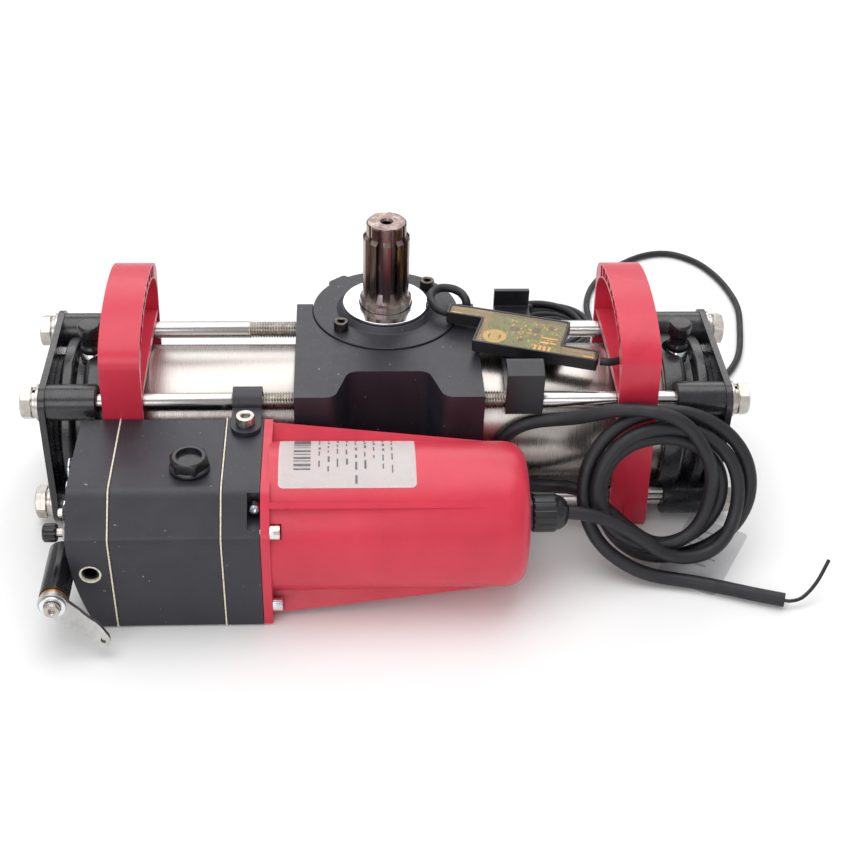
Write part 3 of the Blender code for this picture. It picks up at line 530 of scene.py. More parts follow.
def anodised():
    """Bead-blasted aluminium, anodised black, with a little dust."""
    s = Surface("anodised_black", 0.42)
    tone = s.ramp(s.noise(60), ((0.3, (0.017, 0.017, 0.024)), (0.7, (0.024, 0.024, 0.033))))
    dust = s.between(s.noise(430, 2, 0.4), 0, 0.6, 0.75, 0.775)
    s.colour(s.mixed(dust, tone, (0.42, 0.42, 0.45)))
    s.roughness(s.between(s.noise(500), 0.36, 0.47))
    s.relief(s.noise(2600, 2), 0.05, 0.5)
    s.relief(s.noise(55, 2), 0.12, 0.35)
    return s.material


def cast_black():
    """A glossy black coat over a sand casting."""
    s = Surface("painted_casting", 0.26)
    s.colour(s.ramp(s.noise(90), ((0.35, (0.012, 0.012, 0.015)), (0.7, (0.022, 0.022, 0.026)))))
    s.roughness(s.between(s.noise(240), 0.2, 0.36))
    s.relief(s.noise(700, 4), 0.22, 0.55)
    s.relief(s.noise(110, 3), 0.5, 0.4)
    return s.set(Coat_Weight=0.3, Coat_Roughness=0.15).material


def turned_steel(name, low, high, rough, depth):
    """Bright steel with faint lathe marks round its axis, which runs along X."""
    s = Surface(name, rough, 1.0)
    lines = s.noise(2400, 2, 0.6, (1, 0.02, 0.02))
    blotch = s.noise(30, 3, 0.5, (0.25, 1, 1))
    s.colour(s.mixed(s.between(blotch, 0, 1, 0.35, 0.68), low, high))
    s.roughness(s.between(lines, rough - 0.03, rough + 0.05))
    s.relief(lines, depth, 0.3)
    return s.material


def zinc_plate():
    s = Surface("zinc_plate", 0.16, 1.0)
    blue, bright, straw = (0.62, 0.68, 0.78), (0.84, 0.85, 0.84), (0.80, 0.78, 0.70)
    s.colour(s.ramp(s.noise(45, 2), ((0.3, blue), (0.55, bright), (0.75, straw))))
    s.roughness(s.between(s.noise(160), 0.12, 0.24))
    s.relief(s.noise(900, 2), 0.02, 0.3)
    return s.material


def bolt_steel():
    """Stainless fasteners: forged faces with faint mottling."""
    s = Surface("bolt_steel", 0.3, 1.0)
    s.colour(s.ramp(s.noise(170, 3), ((0.3, (0.42, 0.39, 0.35)), (0.7, (0.60, 0.57, 0.53)))))
    s.roughness(s.between(s.noise(420), 0.22, 0.4))
    s.relief(s.noise(800, 3), 0.05, 0.5)
    return s.material


def shaft_steel():
    """Hardened steel, heat-tinted in long vertical streaks."""
    s = Surface("hardened_steel", 0.2, 1.0)
    streaks = s.noise(170, 3, 0.6, (1, 1, 0.12))
    dark, brown, bare = (0.10, 0.085, 0.095), (0.24, 0.17, 0.155), (0.44, 0.38, 0.33)
    s.colour(s.ramp(streaks, ((0.3, dark), (0.5, brown), (0.7, bare))))
    s.roughness(s.between(s.noise(420, 2, 0.5, (1, 1, 0.1)), 0.13, 0.3))
    s.relief(s.noise(1400, 2, 0.5, (1, 1, 0.04)), 0.02, 0.4)
    return s.material


def moulded(name, dark, light, rough, grain=0.05, sheen=0.0):
    """Injection-moulded plastic with a soft texture and slight flow lines."""
    s = Surface(name, rough)
    flow = s.noise(26, 4, 0.6, (1, 1, 0.35), 0.6)
    s.colour(s.ramp(flow, ((0.3, dark), (0.7, light))))
    s.roughness(s.between(s.noise(300), rough - 0.06, rough + 0.07))
    s.relief(s.noise(1700, 2), grain, 0.5)
    s.relief(s.noise(60, 3), 0.15, 0.35)
    return s.set(Sheen_Weight=sheen).material


def cable_sheath():
    s = Surface("cable_sheath", 0.46)
    s.colour(s.ramp(s.noise(70, 3), ((0.3, (0.007, 0.007, 0.010)), (0.7, (0.013, 0.013, 0.017)))))
    s.roughness(s.between(s.noise(190, 3), 0.42, 0.6))
    s.relief(s.noise(1500, 2), 0.03, 0.4)
    s.relief(s.noise(120, 2), 0.12, 0.4)
    return s.material


def rubber():
    s = Surface("seal_rubber", 0.6)
    s.colour(s.ramp(s.noise(200), ((0.3, (0.018, 0.018, 0.02)), (0.7, (0.03, 0.03, 0.032)))))
    s.relief(s.noise(1800, 2), 0.04, 0.5)
    return s.material


def pressed_fibre():
    """Gasket board: flecked cream paper."""
    s = Surface("gasket_board", 0.85)
    s.colour(s.ramp(s.noise(800, 3, 0.7), ((0.3, (0.52, 0.46, 0.32)), (0.65, (0.86, 0.82, 0.68)))))
    s.relief(s.noise(1500, 3), 0.06, 0.6)
    return s.material


def bearing_bronze():
    s = Surface("bearing_bronze", 0.3, 1.0)
    s.colour(s.ramp(s.noise(220, 3), ((0.3, (0.50, 0.22, 0.06)), (0.7, (0.82, 0.45, 0.16)))))
    s.roughness(s.between(s.noise(500), 0.24, 0.42))
    s.relief(s.noise(1500, 2), 0.03, 0.4)
    return s.material


def copper_winding():
    """Enamelled wire laid along the motor's axis."""
    s = Surface("copper_winding", 0.35, 1.0)
    wires = s.noise(900, 2, 0.5, (0.03, 1, 1))
    s.colour(s.ramp(wires, ((0.3, (0.34, 0.12, 0.05)), (0.7, (0.80, 0.38, 0.18)))))
    s.relief(wires, 0.2, 0.7)
    return s.material


def potting_resin():
    """Amber potting compound, clear and glossy."""
    s = Surface("amber_resin", 0.06)
    s.colour(s.ramp(s.noise(90, 2), ((0.3, (0.85, 0.50, 0.10)), (0.7, (0.95, 0.72, 0.28)))))
    s.relief(s.noise(140, 2), 0.25, 0.5)
    return s.set(Transmission_Weight=0.93, IOR=1.47).material


def circuit_board():
    """Green solder mask with lighter tracks under it."""
    s = Surface("circuit_board", 0.35)
    tracks = s.noise(520, 1, 0.4, (1, 0.35, 1))
    mask, track, gap = (0.10, 0.22, 0.06), (0.22, 0.40, 0.10), (0.12, 0.26, 0.07)
    s.colour(s.ramp(tracks, ((0.42, mask), (0.5, track), (0.6, gap))))
    s.relief(tracks, 0.05, 0.5)
    return s.material


def plain(name, dark, light, rough, metallic=0.0, scale=400, depth=0.03):
    """A small part's finish: two close tones, mottled, with a faint grain."""
    s = Surface(name, rough, metallic)
    s.colour(s.ramp(s.noise(scale, 3), ((0.3, dark), (0.7, light))))
    s.roughness(s.between(s.noise(scale * 1.7), rough * 0.85, min(1, rough * 1.2)))
    s.relief(s.noise(scale * 3, 2), depth, 0.4)
    return s.material


def floor_finish():
    s = Surface("floor_paper", 0.75)
    s.colour(s.ramp(s.noise(3, 2), ((0.3, (0.90, 0.90, 0.90)), (0.7, (0.92, 0.92, 0.92)))))
    return s.material


LOOK = {
    "case": anodised(),
    "cast": cast_black(),
    "tube": turned_steel("honed_tube", (0.40, 0.36, 0.34), (0.54, 0.51, 0.48), 0.28, 0.003),
    "bright": turned_steel("ground_steel", (0.46, 0.43, 0.42), (0.56, 0.54, 0.53), 0.2, 0.002),
    "oxide": plain("black_oxide_screw", (0.06, 0.055, 0.05), (0.14, 0.12, 0.11), 0.3, 1.0),
    "lever": plain("pressed_steel", (0.44, 0.43, 0.42), (0.60, 0.59, 0.58), 0.34, 1.0, 120, 0.02),
    "bolt": bolt_steel(),
    "zinc": zinc_plate(),
    "shaft": shaft_steel(),
    "red": moulded("red_moulding", (0.56, 0.020, 0.050), (0.66, 0.030, 0.065), 0.34, 0.05, 0.05),
    "black": moulded("black_moulding", (0.008, 0.008, 0.011), (0.015, 0.015, 0.019), 0.33),
    "knob": moulded("black_knob", (0.007, 0.007, 0.009), (0.013, 0.013, 0.016), 0.22, 0.03),
    "cable": cable_sheath(),
    "rubber": rubber(),
    "gasket": pressed_fibre(),
    "bronze": bearing_bronze(),
    "winding": copper_winding(),
    "resin": potting_resin(),
    "board": circuit_board(),
    "gold": plain("gold_pads", (0.75, 0.48, 0.10), (0.92, 0.66, 0.20), 0.3, 0.7),
    "lamp": plain("lamp_lens", (0.95, 0.78, 0.30), (1.0, 0.90, 0.50), 0.25),
    "chip": plain("chip_body", (0.02, 0.02, 0.022), (0.04, 0.04, 0.045), 0.4),
    "paper": plain("label_paper", (0.90, 0.90, 0.89), (0.95, 0.95, 0.94), 0.5, 0, 900, 0.01),
    "tag": plain("tag_card", (0.58, 0.58, 0.60), (0.63, 0.63, 0.65), 0.55, 0, 900, 0.01),
    "ink": plain("grey_ink", (0.24, 0.24, 0.26), (0.34, 0.34, 0.36), 0.5, 0, 900, 0.01),
}

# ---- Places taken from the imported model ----

TUBE_LOW, TUBE_HIGH, TUBE_MID = span("cylinder_right")
CYL = (0, TUBE_MID.y, TUBE_MID.z)
TUBE_R = (TUBE_HIGH.y - TUBE_LOW.y) / 2
TUBE_START, TUBE_END = TUBE_LOW.x, TUBE_HIGH.x
CASE_LOW, CASE_HIGH, _ = span("pinion_housing")
BOSS_R = CASE_HIGH.y
HEAD_HIGH = span("end_head_right")[1]
PLATE_OUT = HEAD_HIGH.x
PLATE_IN = PLATE_OUT - 3.4
TANK_LOW, TANK_HIGH, _ = span("oil_tank")
UNIT_FRONT, UNIT_REAR, UNIT_TOP, UNIT_BOTTOM = TANK_LOW.y, TANK_HIGH.y, TANK_HIGH.z, TANK_LOW.z
MOTOR = span("motor_rotor")[2]
MOTOR_AXIS = (0, MOTOR.y, MOTOR.z)
COVER_LOW, COVER_HIGH, _ = span("motor_cover")
MOTOR_END = COVER_HIGH.x
FLANGE_OUT = span("cover_screw_1")[1].x - 5.3
CAN_R = 38.6
VALVE_LOW = span("valve_block")[0]
ADJUST = span("adjuster")[2]
SIDE_PLUG = (-150.3, 0, 38)


def bolt_axes(side):
    """(node, y, z) of the four tie bolts on one side."""
    nodes = [f"tie_bolt_{side}_{k}" for k in range(1, 5)]
    return [(node, *span(node)[2].yz) for node in nodes]


def along_x(sign, low, high):
    return (low, high) if sign > 0 else (-high, -low)


SIDES = (("left", -1), ("right", 1))

# ---- Screws and threads ----


def thread(radius, pitch, low, high, steps=28, rings=6):
    """A helical thread along Z with closed ends, from low to high."""
    shape = bmesh.new()
    count = round((high - low) / pitch * rings)
    rows = []
    for k in range(count + 1):
        z = low + (high - low) * k / count
        row = []
        for step in range(steps):
            angle = math.tau * step / steps
            phase = (z / pitch - step / steps) % 1
            depth = 0.62 * pitch * min(1.0, max(0.0, 1.25 * abs(2 * phase - 1) - 0.12))
            fade = min(1.0, k / rings, (count - k) / rings)
            r = radius - depth * fade
            row.append(shape.verts.new((r * math.cos(angle), r * math.sin(angle), z)))
        rows.append(row)
    for row, after in zip(rows, rows[1:]):
        for k in range(steps):
            m = (k + 1) % steps
            shape.faces.new((row[k], row[m], after[m], after[k]))
    shape.faces.new(list(reversed(rows[0])))
    shape.faces.new(rows[-1])
    return shape


def socket_head(name, node, place, axis, seat, head_r, head_high, flats, material, toward=1, body="frame"):
    """A cap screw: knurled head with an eased rim and a hexagon socket, along +axis or -axis."""
    high, deep = head_high, head_high * 0.55
    ease = min(0.5, head_r * 0.12)
    profile = [(0, -6), (head_r * 0.55, -6), (head_r * 0.55, 0), (head_r, 0), (head_r, high - ease)]
    profile += [(head_r - ease * 0.4, high - ease * 0.3), (head_r - ease, high), (flats * 0.66, high)]
    profile += [(flats * 0.52, high - 0.35), (0, high - 0.35)]
    shape = lathe(profile, steps=72)
    for vert in shape.verts:
        r = math.hypot(vert.co.x, vert.co.y)
        if abs(r - head_r) < 1e-3 and vert.co.z > 0.5:
            angle = math.atan2(vert.co.y, vert.co.x)
            if round(angle / math.tau * 72) % 2:
                vert.co.xy *= 1 - 0.16 / head_r
    hole = hexagon(flats, high - deep, high + 2)
    for made in (shape, hole):
        if toward < 0:
            bmesh.ops.scale(made, vec=(1, 1, -1), verts=made.verts)
        turn_axes(made, axis)
        offset = Vector(place)
        offset["XYZ".index(axis)] = seat
        moved(made, offset)
    obj = cut(to_object(name, shape), hole)
    return dressed(obj, LOOK[material], body, (node,) if node else (), angle=25)


def make_tie_bolts():
    """Ground bolts with a rolled thread into the housing, each with its two washers."""
    for side, sign in SIDES:
        for node, y, z in bolt_axes(side):
            low, high, _ = span(node)
            outer = max(abs(low.x), abs(high.x))
            head_in = outer - 6.4
            shank_start, thread_start = 77.0, 49.0
            place = (0, y, z)
            number = node[-1]
            stem = [(0, shank_start - 1), (4.2, shank_start - 1), (4.75, shank_start + 0.6)]
            stem += [(4.75, head_in), (0, head_in)]
            shank = lathe([(r, sign * h) for r, h in stem], "X", place, FINE)
            screw = thread(4.95, 1.5, thread_start, shank_start)
            if sign < 0:
                screw = turned(screw, "X", math.pi)
            screw = moved(turn_axes(screw, "X"), place)
            head = [(0, head_in), (7.4, head_in), (7.4, head_in + 0.5), (9.3, head_in + 0.5)]
            head += [(9.3, outer - 1.2), (7.6, outer - 0.25), (6.9, outer), (0, outer)]
            bound = lathe([(r, sign * h) for r, h in head], "X", place, FINE)
            hexa = hexagon(16, *along_x(sign, head_in - 1, outer + 1), "X", place, 0.3 * int(number))
            knob = combined(to_object(f"bolt_head_{side}_{number}", hexa), "INTERSECT", bound)
            dressed(knob, LOOK["bolt"], nodes=(node,), bevel=0.22, angle=25)
            piece(f"bolt_shank_{side}_{number}", shank, LOOK["bright"])
            piece(f"bolt_thread_{side}_{number}", screw, LOOK["bolt"], angle=60)
            flat = along_x(sign, PLATE_OUT + 0.25, PLATE_OUT + 1.75)
            washer = ring(5.3, 9.8, *flat, "X", place, FINE, ease=0.3)
            piece(f"flat_washer_{side}_{number}", washer, LOOK["bolt"])
            spring_name = f"spring_washer_{side}_{number}"
            make_spring_washer(spring_name, sign, PLATE_OUT + 1.8, place, int(number))


def make_spring_washer(name, sign, start, place, turn):
    """A flat split ring with a gap between its two ends."""
    outline = arc(8.3, 8, 352, 49) + list(reversed(arc(5.2, 8, 352, 49)))
    shape = prism(outline, 0, 1.85)
    turned(shape, "Z", turn * 1.7)
    turn_axes(shape, "X")
    if sign < 0:
        bmesh.ops.scale(shape, vec=(-1, 1, 1), verts=shape.verts)
    piece(name, moved(shape, (sign * start, place[1], place[2])), LOOK["bolt"], bevel=0.25)


# ---- Gear housing ----


def housing_outline():
    """Plan of the block: a straight front with an S-sided notch in it."""
    x, front, rear = CASE_HIGH.x, CASE_LOW.y, 6.4
    left = [(-x, rear), (-x, front), (-34, front)]
    left += arc(7, -90, -28, 12, (-34, front + 7))
    left += arc(7, 152, 90, 12, (-16.5, -68.6))
    right = [(-u, v) for u, v in reversed(left)]
    return left + right


def make_housing():
    top = CASE_HIGH.z
    housing = to_object("gear_housing", prism(housing_outline(), CASE_LOW.z, top))
    fuse(housing, rod(BOSS_R, CASE_LOW.z, top - 0.5, steps=ROUND))
    pocket = [(0, 24), (31, 24), (31, 66), (32.9, 66), (32.9, 84.2), (BOSS_R + 0.45, 84.2)]
    pocket += [(BOSS_R + 0.45, top + 5), (0, top + 5)]
    cut(housing, lathe(pocket, steps=ROUND))
    cut(housing, rod(18.3, -CASE_HIGH.x - 1, CASE_HIGH.x + 1, "X", CYL, FINE))
    for side, sign in SIDES:
        groove = along_x(sign, TUBE_START - 0.3, CASE_HIGH.x + 1)
        cut(housing, ring(34.7, TUBE_R + 0.3, *groove, "X", CYL, ROUND))
        for _, y, z in bolt_axes(side):
            cut(housing, rod(5.3, *along_x(sign, 40, CASE_HIGH.x + 1), "X", (0, y, z), SMALL))
    _, _, pipe = span("pipe_right")
    for _, sign in SIDES:
        cut(housing, rod(3.6, *along_x(sign, 38, CASE_HIGH.x + 1), "X", (0, pipe.y, pipe.z), SMALL))
    dressed(housing, LOOK["case"], nodes=("pinion_housing",), bevel=0.45)
    profile = [(BOSS_R, 84.6), (BOSS_R, 90), (27.6, 90), (24.7, 93.0), (20.6, 93.0), (20.6, 84.5)]
    profile += [(19.3, 84.5), (19.3, 67), (32.6, 67), (32.6, 84.6)]
    cap = to_object("bearing_cap_turned", lathe(profile, steps=ROUND, ring=True, ease=0.5))
    lug = prism(eased([(30, -6.5), (43.6, -6.5), (43.6, 6.5), (30, 6.5)], 2.5, True), 84.8, 89.7)
    fuse(cap, turned(lug, "Z", math.radians(130)))
    for node in ("cap_screw_front", "cap_screw_rear"):
        mid = span(node)[2]
        cut(cap, rod(2.9, 60, 95, centre=(mid.x, mid.y, 0), steps=SMALL))
    dressed(cap, LOOK["case"], nodes=("bearing_cap",), angle=28)
    for node in ("cap_screw_front", "cap_screw_rear"):
        mid = span(node)[2]
        socket_head(node + "_socket", node, mid, "Z", 90.2, 4.1, 5.0, 3.6, "oxide")


def spline_outline(count, tip, root, width):
    """Parallel-sided teeth with round tips and roots."""
    points = []
    half, half_root = math.asin(width / 2 / tip), math.asin(width / 2 / root)
    pitch = math.tau / count
    for tooth in range(count):
        middle = -math.pi / 2 + tooth * pitch
        for k in range(5):
            points.append((tip, middle - half + 2 * half * k / 4))
        for k in range(5):
            points.append((root, middle + half_root + (pitch - 2 * half_root) * k / 4))
    return [(r * math.cos(a), r * math.sin(a)) for r, a in points]


def make_shaft():
    top = span("output_shaft")[1].z
    teeth = prism(spline_outline(10, 13.0, 10.4, 4.2), 98, top)
    envelope = [(0, 97), (13, 97), (13, 136.6), (11.1, 138.7), (11.1, top - 0.7), (10.5, top), (0, top)]
    shaft = combined(to_object("splined_shaft", teeth), "INTERSECT", lathe(envelope, steps=ROUND))
    collar = [(0, 9), (13, 9), (13, 66.5), (14.5, 66.5), (14.5, 98.4), (13.1, 99.8), (10.5, 105), (0, 105)]
    fuse(shaft, lathe(collar, steps=ROUND))
    hole = [(0, top - 18), (2.5, top - 17), (2.5, top - 1.2), (3.7, top + 0.05)]
    hole += [(3.7, top + 1), (0, top + 1)]
    cut(shaft, lathe(hole, steps=SMALL))
    cut(shaft, rod(0.5, top - 0.5, top + 1, centre=(4.6, 3.4, 0), steps=16))
    dressed(shaft, LOOK["shaft"], "output", ("output_shaft",), bevel=0.14, angle=25)
    low, high, _ = span("shaft_washer")
    washer = ring(14.8, high.x, low.z, high.z, steps=ROUND, ease=0.4)
    piece("zinc_washer", washer, LOOK["zinc"], nodes=("shaft_washer",))


# ---- Cylinders and end heads ----


def make_tubes():
    for side, sign in SIDES:
        tube_shape = ring(35, TUBE_R, *along_x(sign, TUBE_START, TUBE_END), "X", CYL, ROUND, ease=0.4)
        piece(f"honed_cylinder_{side}", tube_shape, LOOK["tube"], nodes=(f"cylinder_{side}",))
    low, high, mid = span("pipe_right")
    pipe = rod(3.1, low.x, high.x, "X", (0, mid.y, mid.z), SMALL)
    piece("pressure_pipe", pipe, LOOK["bright"], nodes=("pipe_right",))


def plate_outline(grow=0.0):
    """The end head's outer plate: a square with rounded corners, in Y and Z."""
    points = []
    for turn, (y, z) in enumerate(((1, 1), (-1, 1), (-1, -1), (1, -1))):
        centre = (CYL[1] + y * 36.4, CYL[2] + z * 33.9)
        points += arc(10 + grow, turn * 90, turn * 90 + 90, 10, centre)
    return points


def make_heads():
    for side, sign in SIDES:
        hub = [(0, 158), (26, 158), (26, 150), (34.7, 150), (34.7, 153.7), (39.3, 153.7), (39.3, 150)]
        hub += [(44, 150), (44, 160), (42.5, 162), (37.5, 163), (37, 167.5), (42.5, 168.6), (43, 170)]
        hub += [(43, 174), (34, 176.5), (34, 180), (0, 180)]
        shape = lathe([(r, sign * h) for r, h in hub], "X", CYL, ROUND, ease=0.8)
        head = to_object(f"cast_head_{side}", shape)
        fuse(head, prism(plate_outline(), *along_x(sign, PLATE_IN, PLATE_OUT), "X"))
        for _, y, z in bolt_axes(side):
            boss = [(0, 153.3), (8.8, 153.3), (9.7, 154.2), (9.7, PLATE_OUT - 0.6), (0, PLATE_OUT - 0.6)]
            fuse(head, lathe([(r, sign * h) for r, h in boss], "X", (0, y, z), 48))
        for _, y, z in bolt_axes(side):
            web = block((-12, 0, -3), (12, 34, 3))
            turned(web, "X", math.atan2(z - CYL[2], y - CYL[1]))
            fuse(head, moved(web, (sign * 168, CYL[1], CYL[2])))
        x = span(f"bleed_screw_{side}")[2].x
        for _, y, z in bolt_axes(side):
            cut(head, rod(5.4, *along_x(sign, 140, 190), "X", (0, y, z), SMALL))
        cut(head, rod(8.5, 83.0, 100, centre=(x, CYL[1], 0), steps=FINE))
        cut(head, rod(3.4, 66, 90, centre=(x, CYL[1], 0), steps=SMALL))
        dressed(head, LOOK["cast"], nodes=(f"end_head_{side}",), bevel=0.5, angle=28)
        make_bleed(side, x)


def make_bleed(side, x):
    """Bleed screw: a black knob on a stem, above its chrome body."""
    centre = (x, CYL[1], 0)
    knob = [(0, 88.4), (4.5, 88.4), (5.9, 89.0), (5.9, 91.4), (4.9, 93.2), (4.7, 97), (6.3, 98.6)]
    knob += [(6.4, 99.2), (6.4, 104.4), (5.4, 105.4), (0, 105.4)]
    top = lathe(knob, centre=centre, steps=FINE, ease=0.5)
    piece(f"bleed_knob_{side}", top, LOOK["knob"], nodes=(f"bleed_screw_{side}",))
    body = [(0, 76), (2.9, 76), (2.9, 83.3), (6.3, 83.3), (6.4, 86.0), (5.2, 88.8), (0, 88.8)]
    piece(f"bleed_body_{side}", lathe(body, centre=centre, steps=FINE, ease=0.6), LOOK["zinc"])


# ---- Carrying straps ----


def arch(half, top, shoulder, count):
    """Half an ellipse over the cylinder, from its +Y foot to its -Y foot."""
    angles = [math.pi * k / (count - 1) for k in range(count)]
    return [(CYL[1] + half * math.cos(a), shoulder + (top - shoulder) * math.sin(a)) for a in angles]


def strap_outline(half, top, shoulder):
    """A hoop open below, thick over the arch, with a toe under each lower rod."""
    mid, leg, toe = CYL[1], half - 2.8, 31.0
    outer = [(mid + 45.5, 0.6), (mid + half, 6), (mid + half, 26)] + arch(half, top, shoulder, 73)
    outer += [(mid - half, 26), (mid - half, 6), (mid - 45.5, 0.6)]
    foot = [(toe, 0.6), (toe, 5.2), (leg - 2, 5.2), (leg, 9), (leg, 62)]
    inner = [(mid - y, z) for y, z in foot]
    inner += reversed(arch(leg, top - 6.5, shoulder - 12, 73))
    inner += [(mid + y, z) for y, z in reversed(foot)]
    return outer + inner


def strap_cell(first, last, half, top, shoulder):
    """One hollow between the strap's two walls, between two angles in degrees over the arch."""
    out, back = [], []
    for k in range(12):
        angle = math.radians(first + (last - first) * k / 11)
        u, v = math.cos(angle), math.sin(angle)
        out.append((CYL[1] + (half - 1.5) * u, shoulder + (top - shoulder - 1.4) * v))
        low = shoulder - 12
        inner = min(half - 2.8 + 1.4 * v, half - 3.4)
        back.append((CYL[1] + inner * u, low + (top - 6.5 + 1.3 - low) * v))
    return out + list(reversed(back))


def make_straps():
    """Double-walled carrying loops with cells between the walls, over a saddle on the cylinder."""
    width, top, shoulder, half = 20.8, 129.0, 108.0, 48.3
    for side, middle, slope in (("left", -138.2, -0.015), ("right", 129.8, 0.03)):

        def leaned(shape):
            for vert in shape.verts:
                vert.co.x += middle + slope * (top - vert.co.z)
            return shape

        outline = strap_outline(half, top, shoulder)
        strap = to_object(f"red_strap_{side}", leaned(prism(outline, -width / 2, width / 2, "X")))
        saddle = [(CYL[1] + y, z) for y, z in arc(46.4, 0, 180, 25)]
        saddle = [(y, 84.9 + z * 0.11) for y, z in saddle] + [(y, 84.9) for y, _ in (saddle[-1], saddle[0])]
        fuse(strap, leaned(prism(saddle, 0.6 - width / 2, width / 2 - 0.6, "X")))
        for first in range(40, 140, 12):
            cell = strap_cell(first + 1, first + 11, half, top, shoulder)
            for near, far in ((-width, -3.0), (3.0, width)):
                cut(strap, leaned(prism(cell, near, far, "X")))
        if side == "right":
            mid = CYL[1]
            fin = [(mid - 47, 26), (mid - 55, 2), (mid - 53, 0.7), (mid - 44, 0.7), (mid - 46, 12)]
            fuse(strap, leaned(prism(fin, -2, 2, "X")))
        dressed(strap, LOOK["red"], nodes=(f"carry_strap_{side}",), bevel=0.3, angle=35)


# ---- Power unit ----


def unit_outline(grow=0.0):
    """Section of the power unit's blocks: a flat top, a 45 degree face and a nearly upright front."""
    shoulder = bezier((-143.8, UNIT_TOP), (-147.0, UNIT_TOP), (-148.8, 76.6), (-151.4, 74.0), 9)
    crease = bezier((-163.6, 61.8), (-164.6, 60.8), (UNIT_FRONT, 59.2), (UNIT_FRONT, 57.0), 5)
    points = [(UNIT_REAR, UNIT_BOTTOM), (UNIT_REAR, UNIT_TOP)] + shoulder + crease
    points += [(UNIT_FRONT + 2.8, UNIT_BOTTOM)]
    middle = (-127, 40)
    return [(y + grow * (y - middle[0]) / 40, z + grow * (z - middle[1]) / 39) for y, z in points]


def make_blocks():
    low, high, _ = span("valve_block")
    valve = to_object("valve_body", prism(unit_outline(), low.x, high.x, "X"))
    corner = [(-165, 50)] + bezier((-160.3, 50), (-159.6, 34), (-157, 16), (-149.6, -2), 14)
    cut(valve, prism(corner + [(-165, -2)], -190, -139, "Y"))
    adjuster = span("adjuster")[2]
    cut(valve, rod(2.9, -175, -150, "X", (0, adjuster.y, adjuster.z), SMALL))
    cut(valve, rod(5.6, -175, UNIT_FRONT + 3.4, "Y", SIDE_PLUG, FINE))
    dressed(valve, LOOK["case"], nodes=("valve_block",), bevel=0.9)
    tank = to_object("tank_body", prism(unit_outline(), TANK_LOW.x, TANK_HIGH.x, "X"))
    inside = [(UNIT_REAR - 5, 6), (UNIT_REAR - 5, 72), (-144, 72), (-160, 60), (-153, 6)]
    cut(tank, prism(inside, TANK_LOW.x - 1, TANK_HIGH.x + 1, "X"))
    filler = span("filler_plug")[2]
    cut(tank, rod(7.2, 66, 90, centre=(filler.x, filler.y, 0), steps=FINE))
    dressed(tank, LOOK["case"], nodes=("oil_tank",), bevel=0.3, angle=24)
    for side in ("left", "right"):
        low, high, _ = span(f"gasket_{side}")
        sheet = cut(to_object(f"fibre_gasket_{side}", prism(unit_outline(0.45), low.x, high.x, "X")),
                    prism(inside, low.x - 1, high.x + 1, "X"))
        dressed(sheet, LOOK["gasket"], nodes=(f"gasket_{side}",), bevel=0.12)
    low, high, _ = span("pump_block")
    pump = to_object("pump_body", prism(unit_outline(), low.x, high.x, "X"))
    cut(pump, block((-72.0, -180, 63.5), (-64, -147, 76.5)))
    cut(pump, rod(20, low.x - 1, -74, "X", MOTOR_AXIS, FINE))
    cut(pump, rod(6, -90, -60, "X", MOTOR_AXIS, SMALL))
    screw = span("hanger_screw")[2]
    cut(pump, rod(3.2, 60, 90, centre=(screw.x, screw.y, 0), steps=SMALL))
    for number in range(1, 5):
        mid = span(f"cover_screw_{number}")[2]
        cut(pump, rod(2.4, -71.6, -60, "X", (0, mid.y, mid.z), SMALL))
    dressed(pump, LOOK["case"], nodes=("pump_block",), bevel=0.5)


def make_side_plug():
    """A sunk plug in the valve body's face, sealed by a pale ring."""
    face = UNIT_FRONT + 1.2
    plug = [(0, face + 6), (4.3, face + 6), (4.3, face + 1.2), (3.4, face + 0.9), (3.0, face + 2.2)]
    plug += [(0, face + 2.2)]
    piece("side_plug", lathe(plug, "Y", SIDE_PLUG, FINE), LOOK["knob"])
    sleeve = ring(4.5, 5.5, face - 0.4, face + 3, "Y", SIDE_PLUG, ease=0.3)
    piece("side_plug_ring", sleeve, LOOK["gasket"])


def make_window_screw():
    """The bright screw in the pump body's window."""
    centre = (-68.6, 0, 69.0)
    screw = [(0, -149), (2.7, -149), (2.7, -152.6), (2.2, -153.2), (1.2, -153.2), (1.2, -152.0)]
    screw += [(0, -152.0)]
    piece("window_screw", lathe(screw, "Y", centre, FINE), LOOK["zinc"])


def make_valve_ports():
    """Plugs on the valve body's end: three round bosses with bright rings, and a screw above the knob."""
    face = VALVE_LOW.x
    for number, (y, z, r) in enumerate(((-112, 64, 6.5), (-124, 60, 5.0), (-136, 56, 6.0)), 1):
        boss = [(0, face + 1), (r, face + 1), (r, face - 3.2), (r - 1, face - 4.0), (r * 0.5, face - 4.0)]
        boss += [(r * 0.5, face - 2.4), (0, face - 2.4)]
        piece(f"port_plug_{number}", lathe(boss, "X", (0, y, z), FINE, ease=0.3), LOOK["knob"])
        trim = ring(r - 1.1, r - 0.4, face - 4.25, face - 3.4, "X", (0, y, z), FINE, ease=0.2)
        piece(f"port_ring_{number}", trim, LOOK["zinc"])
    y, z = ADJUST.y + 1.5, ADJUST.z + 11.5
    boss = [(0, face + 1), (4.6, face + 1), (4.6, face - 1.6), (3.6, face - 2.4), (0, face - 2.4)]
    piece("stop_boss", lathe(boss, "X", (0, y, z), FINE, ease=0.3), LOOK["knob"])
    screw = [(0, face - 2.2), (2.3, face - 2.2), (2.3, face - 4.2), (1.5, face - 4.9), (0, face - 5.0)]
    piece("stop_screw", lathe(screw, "X", (0, y, z), FINE), LOOK["zinc"])


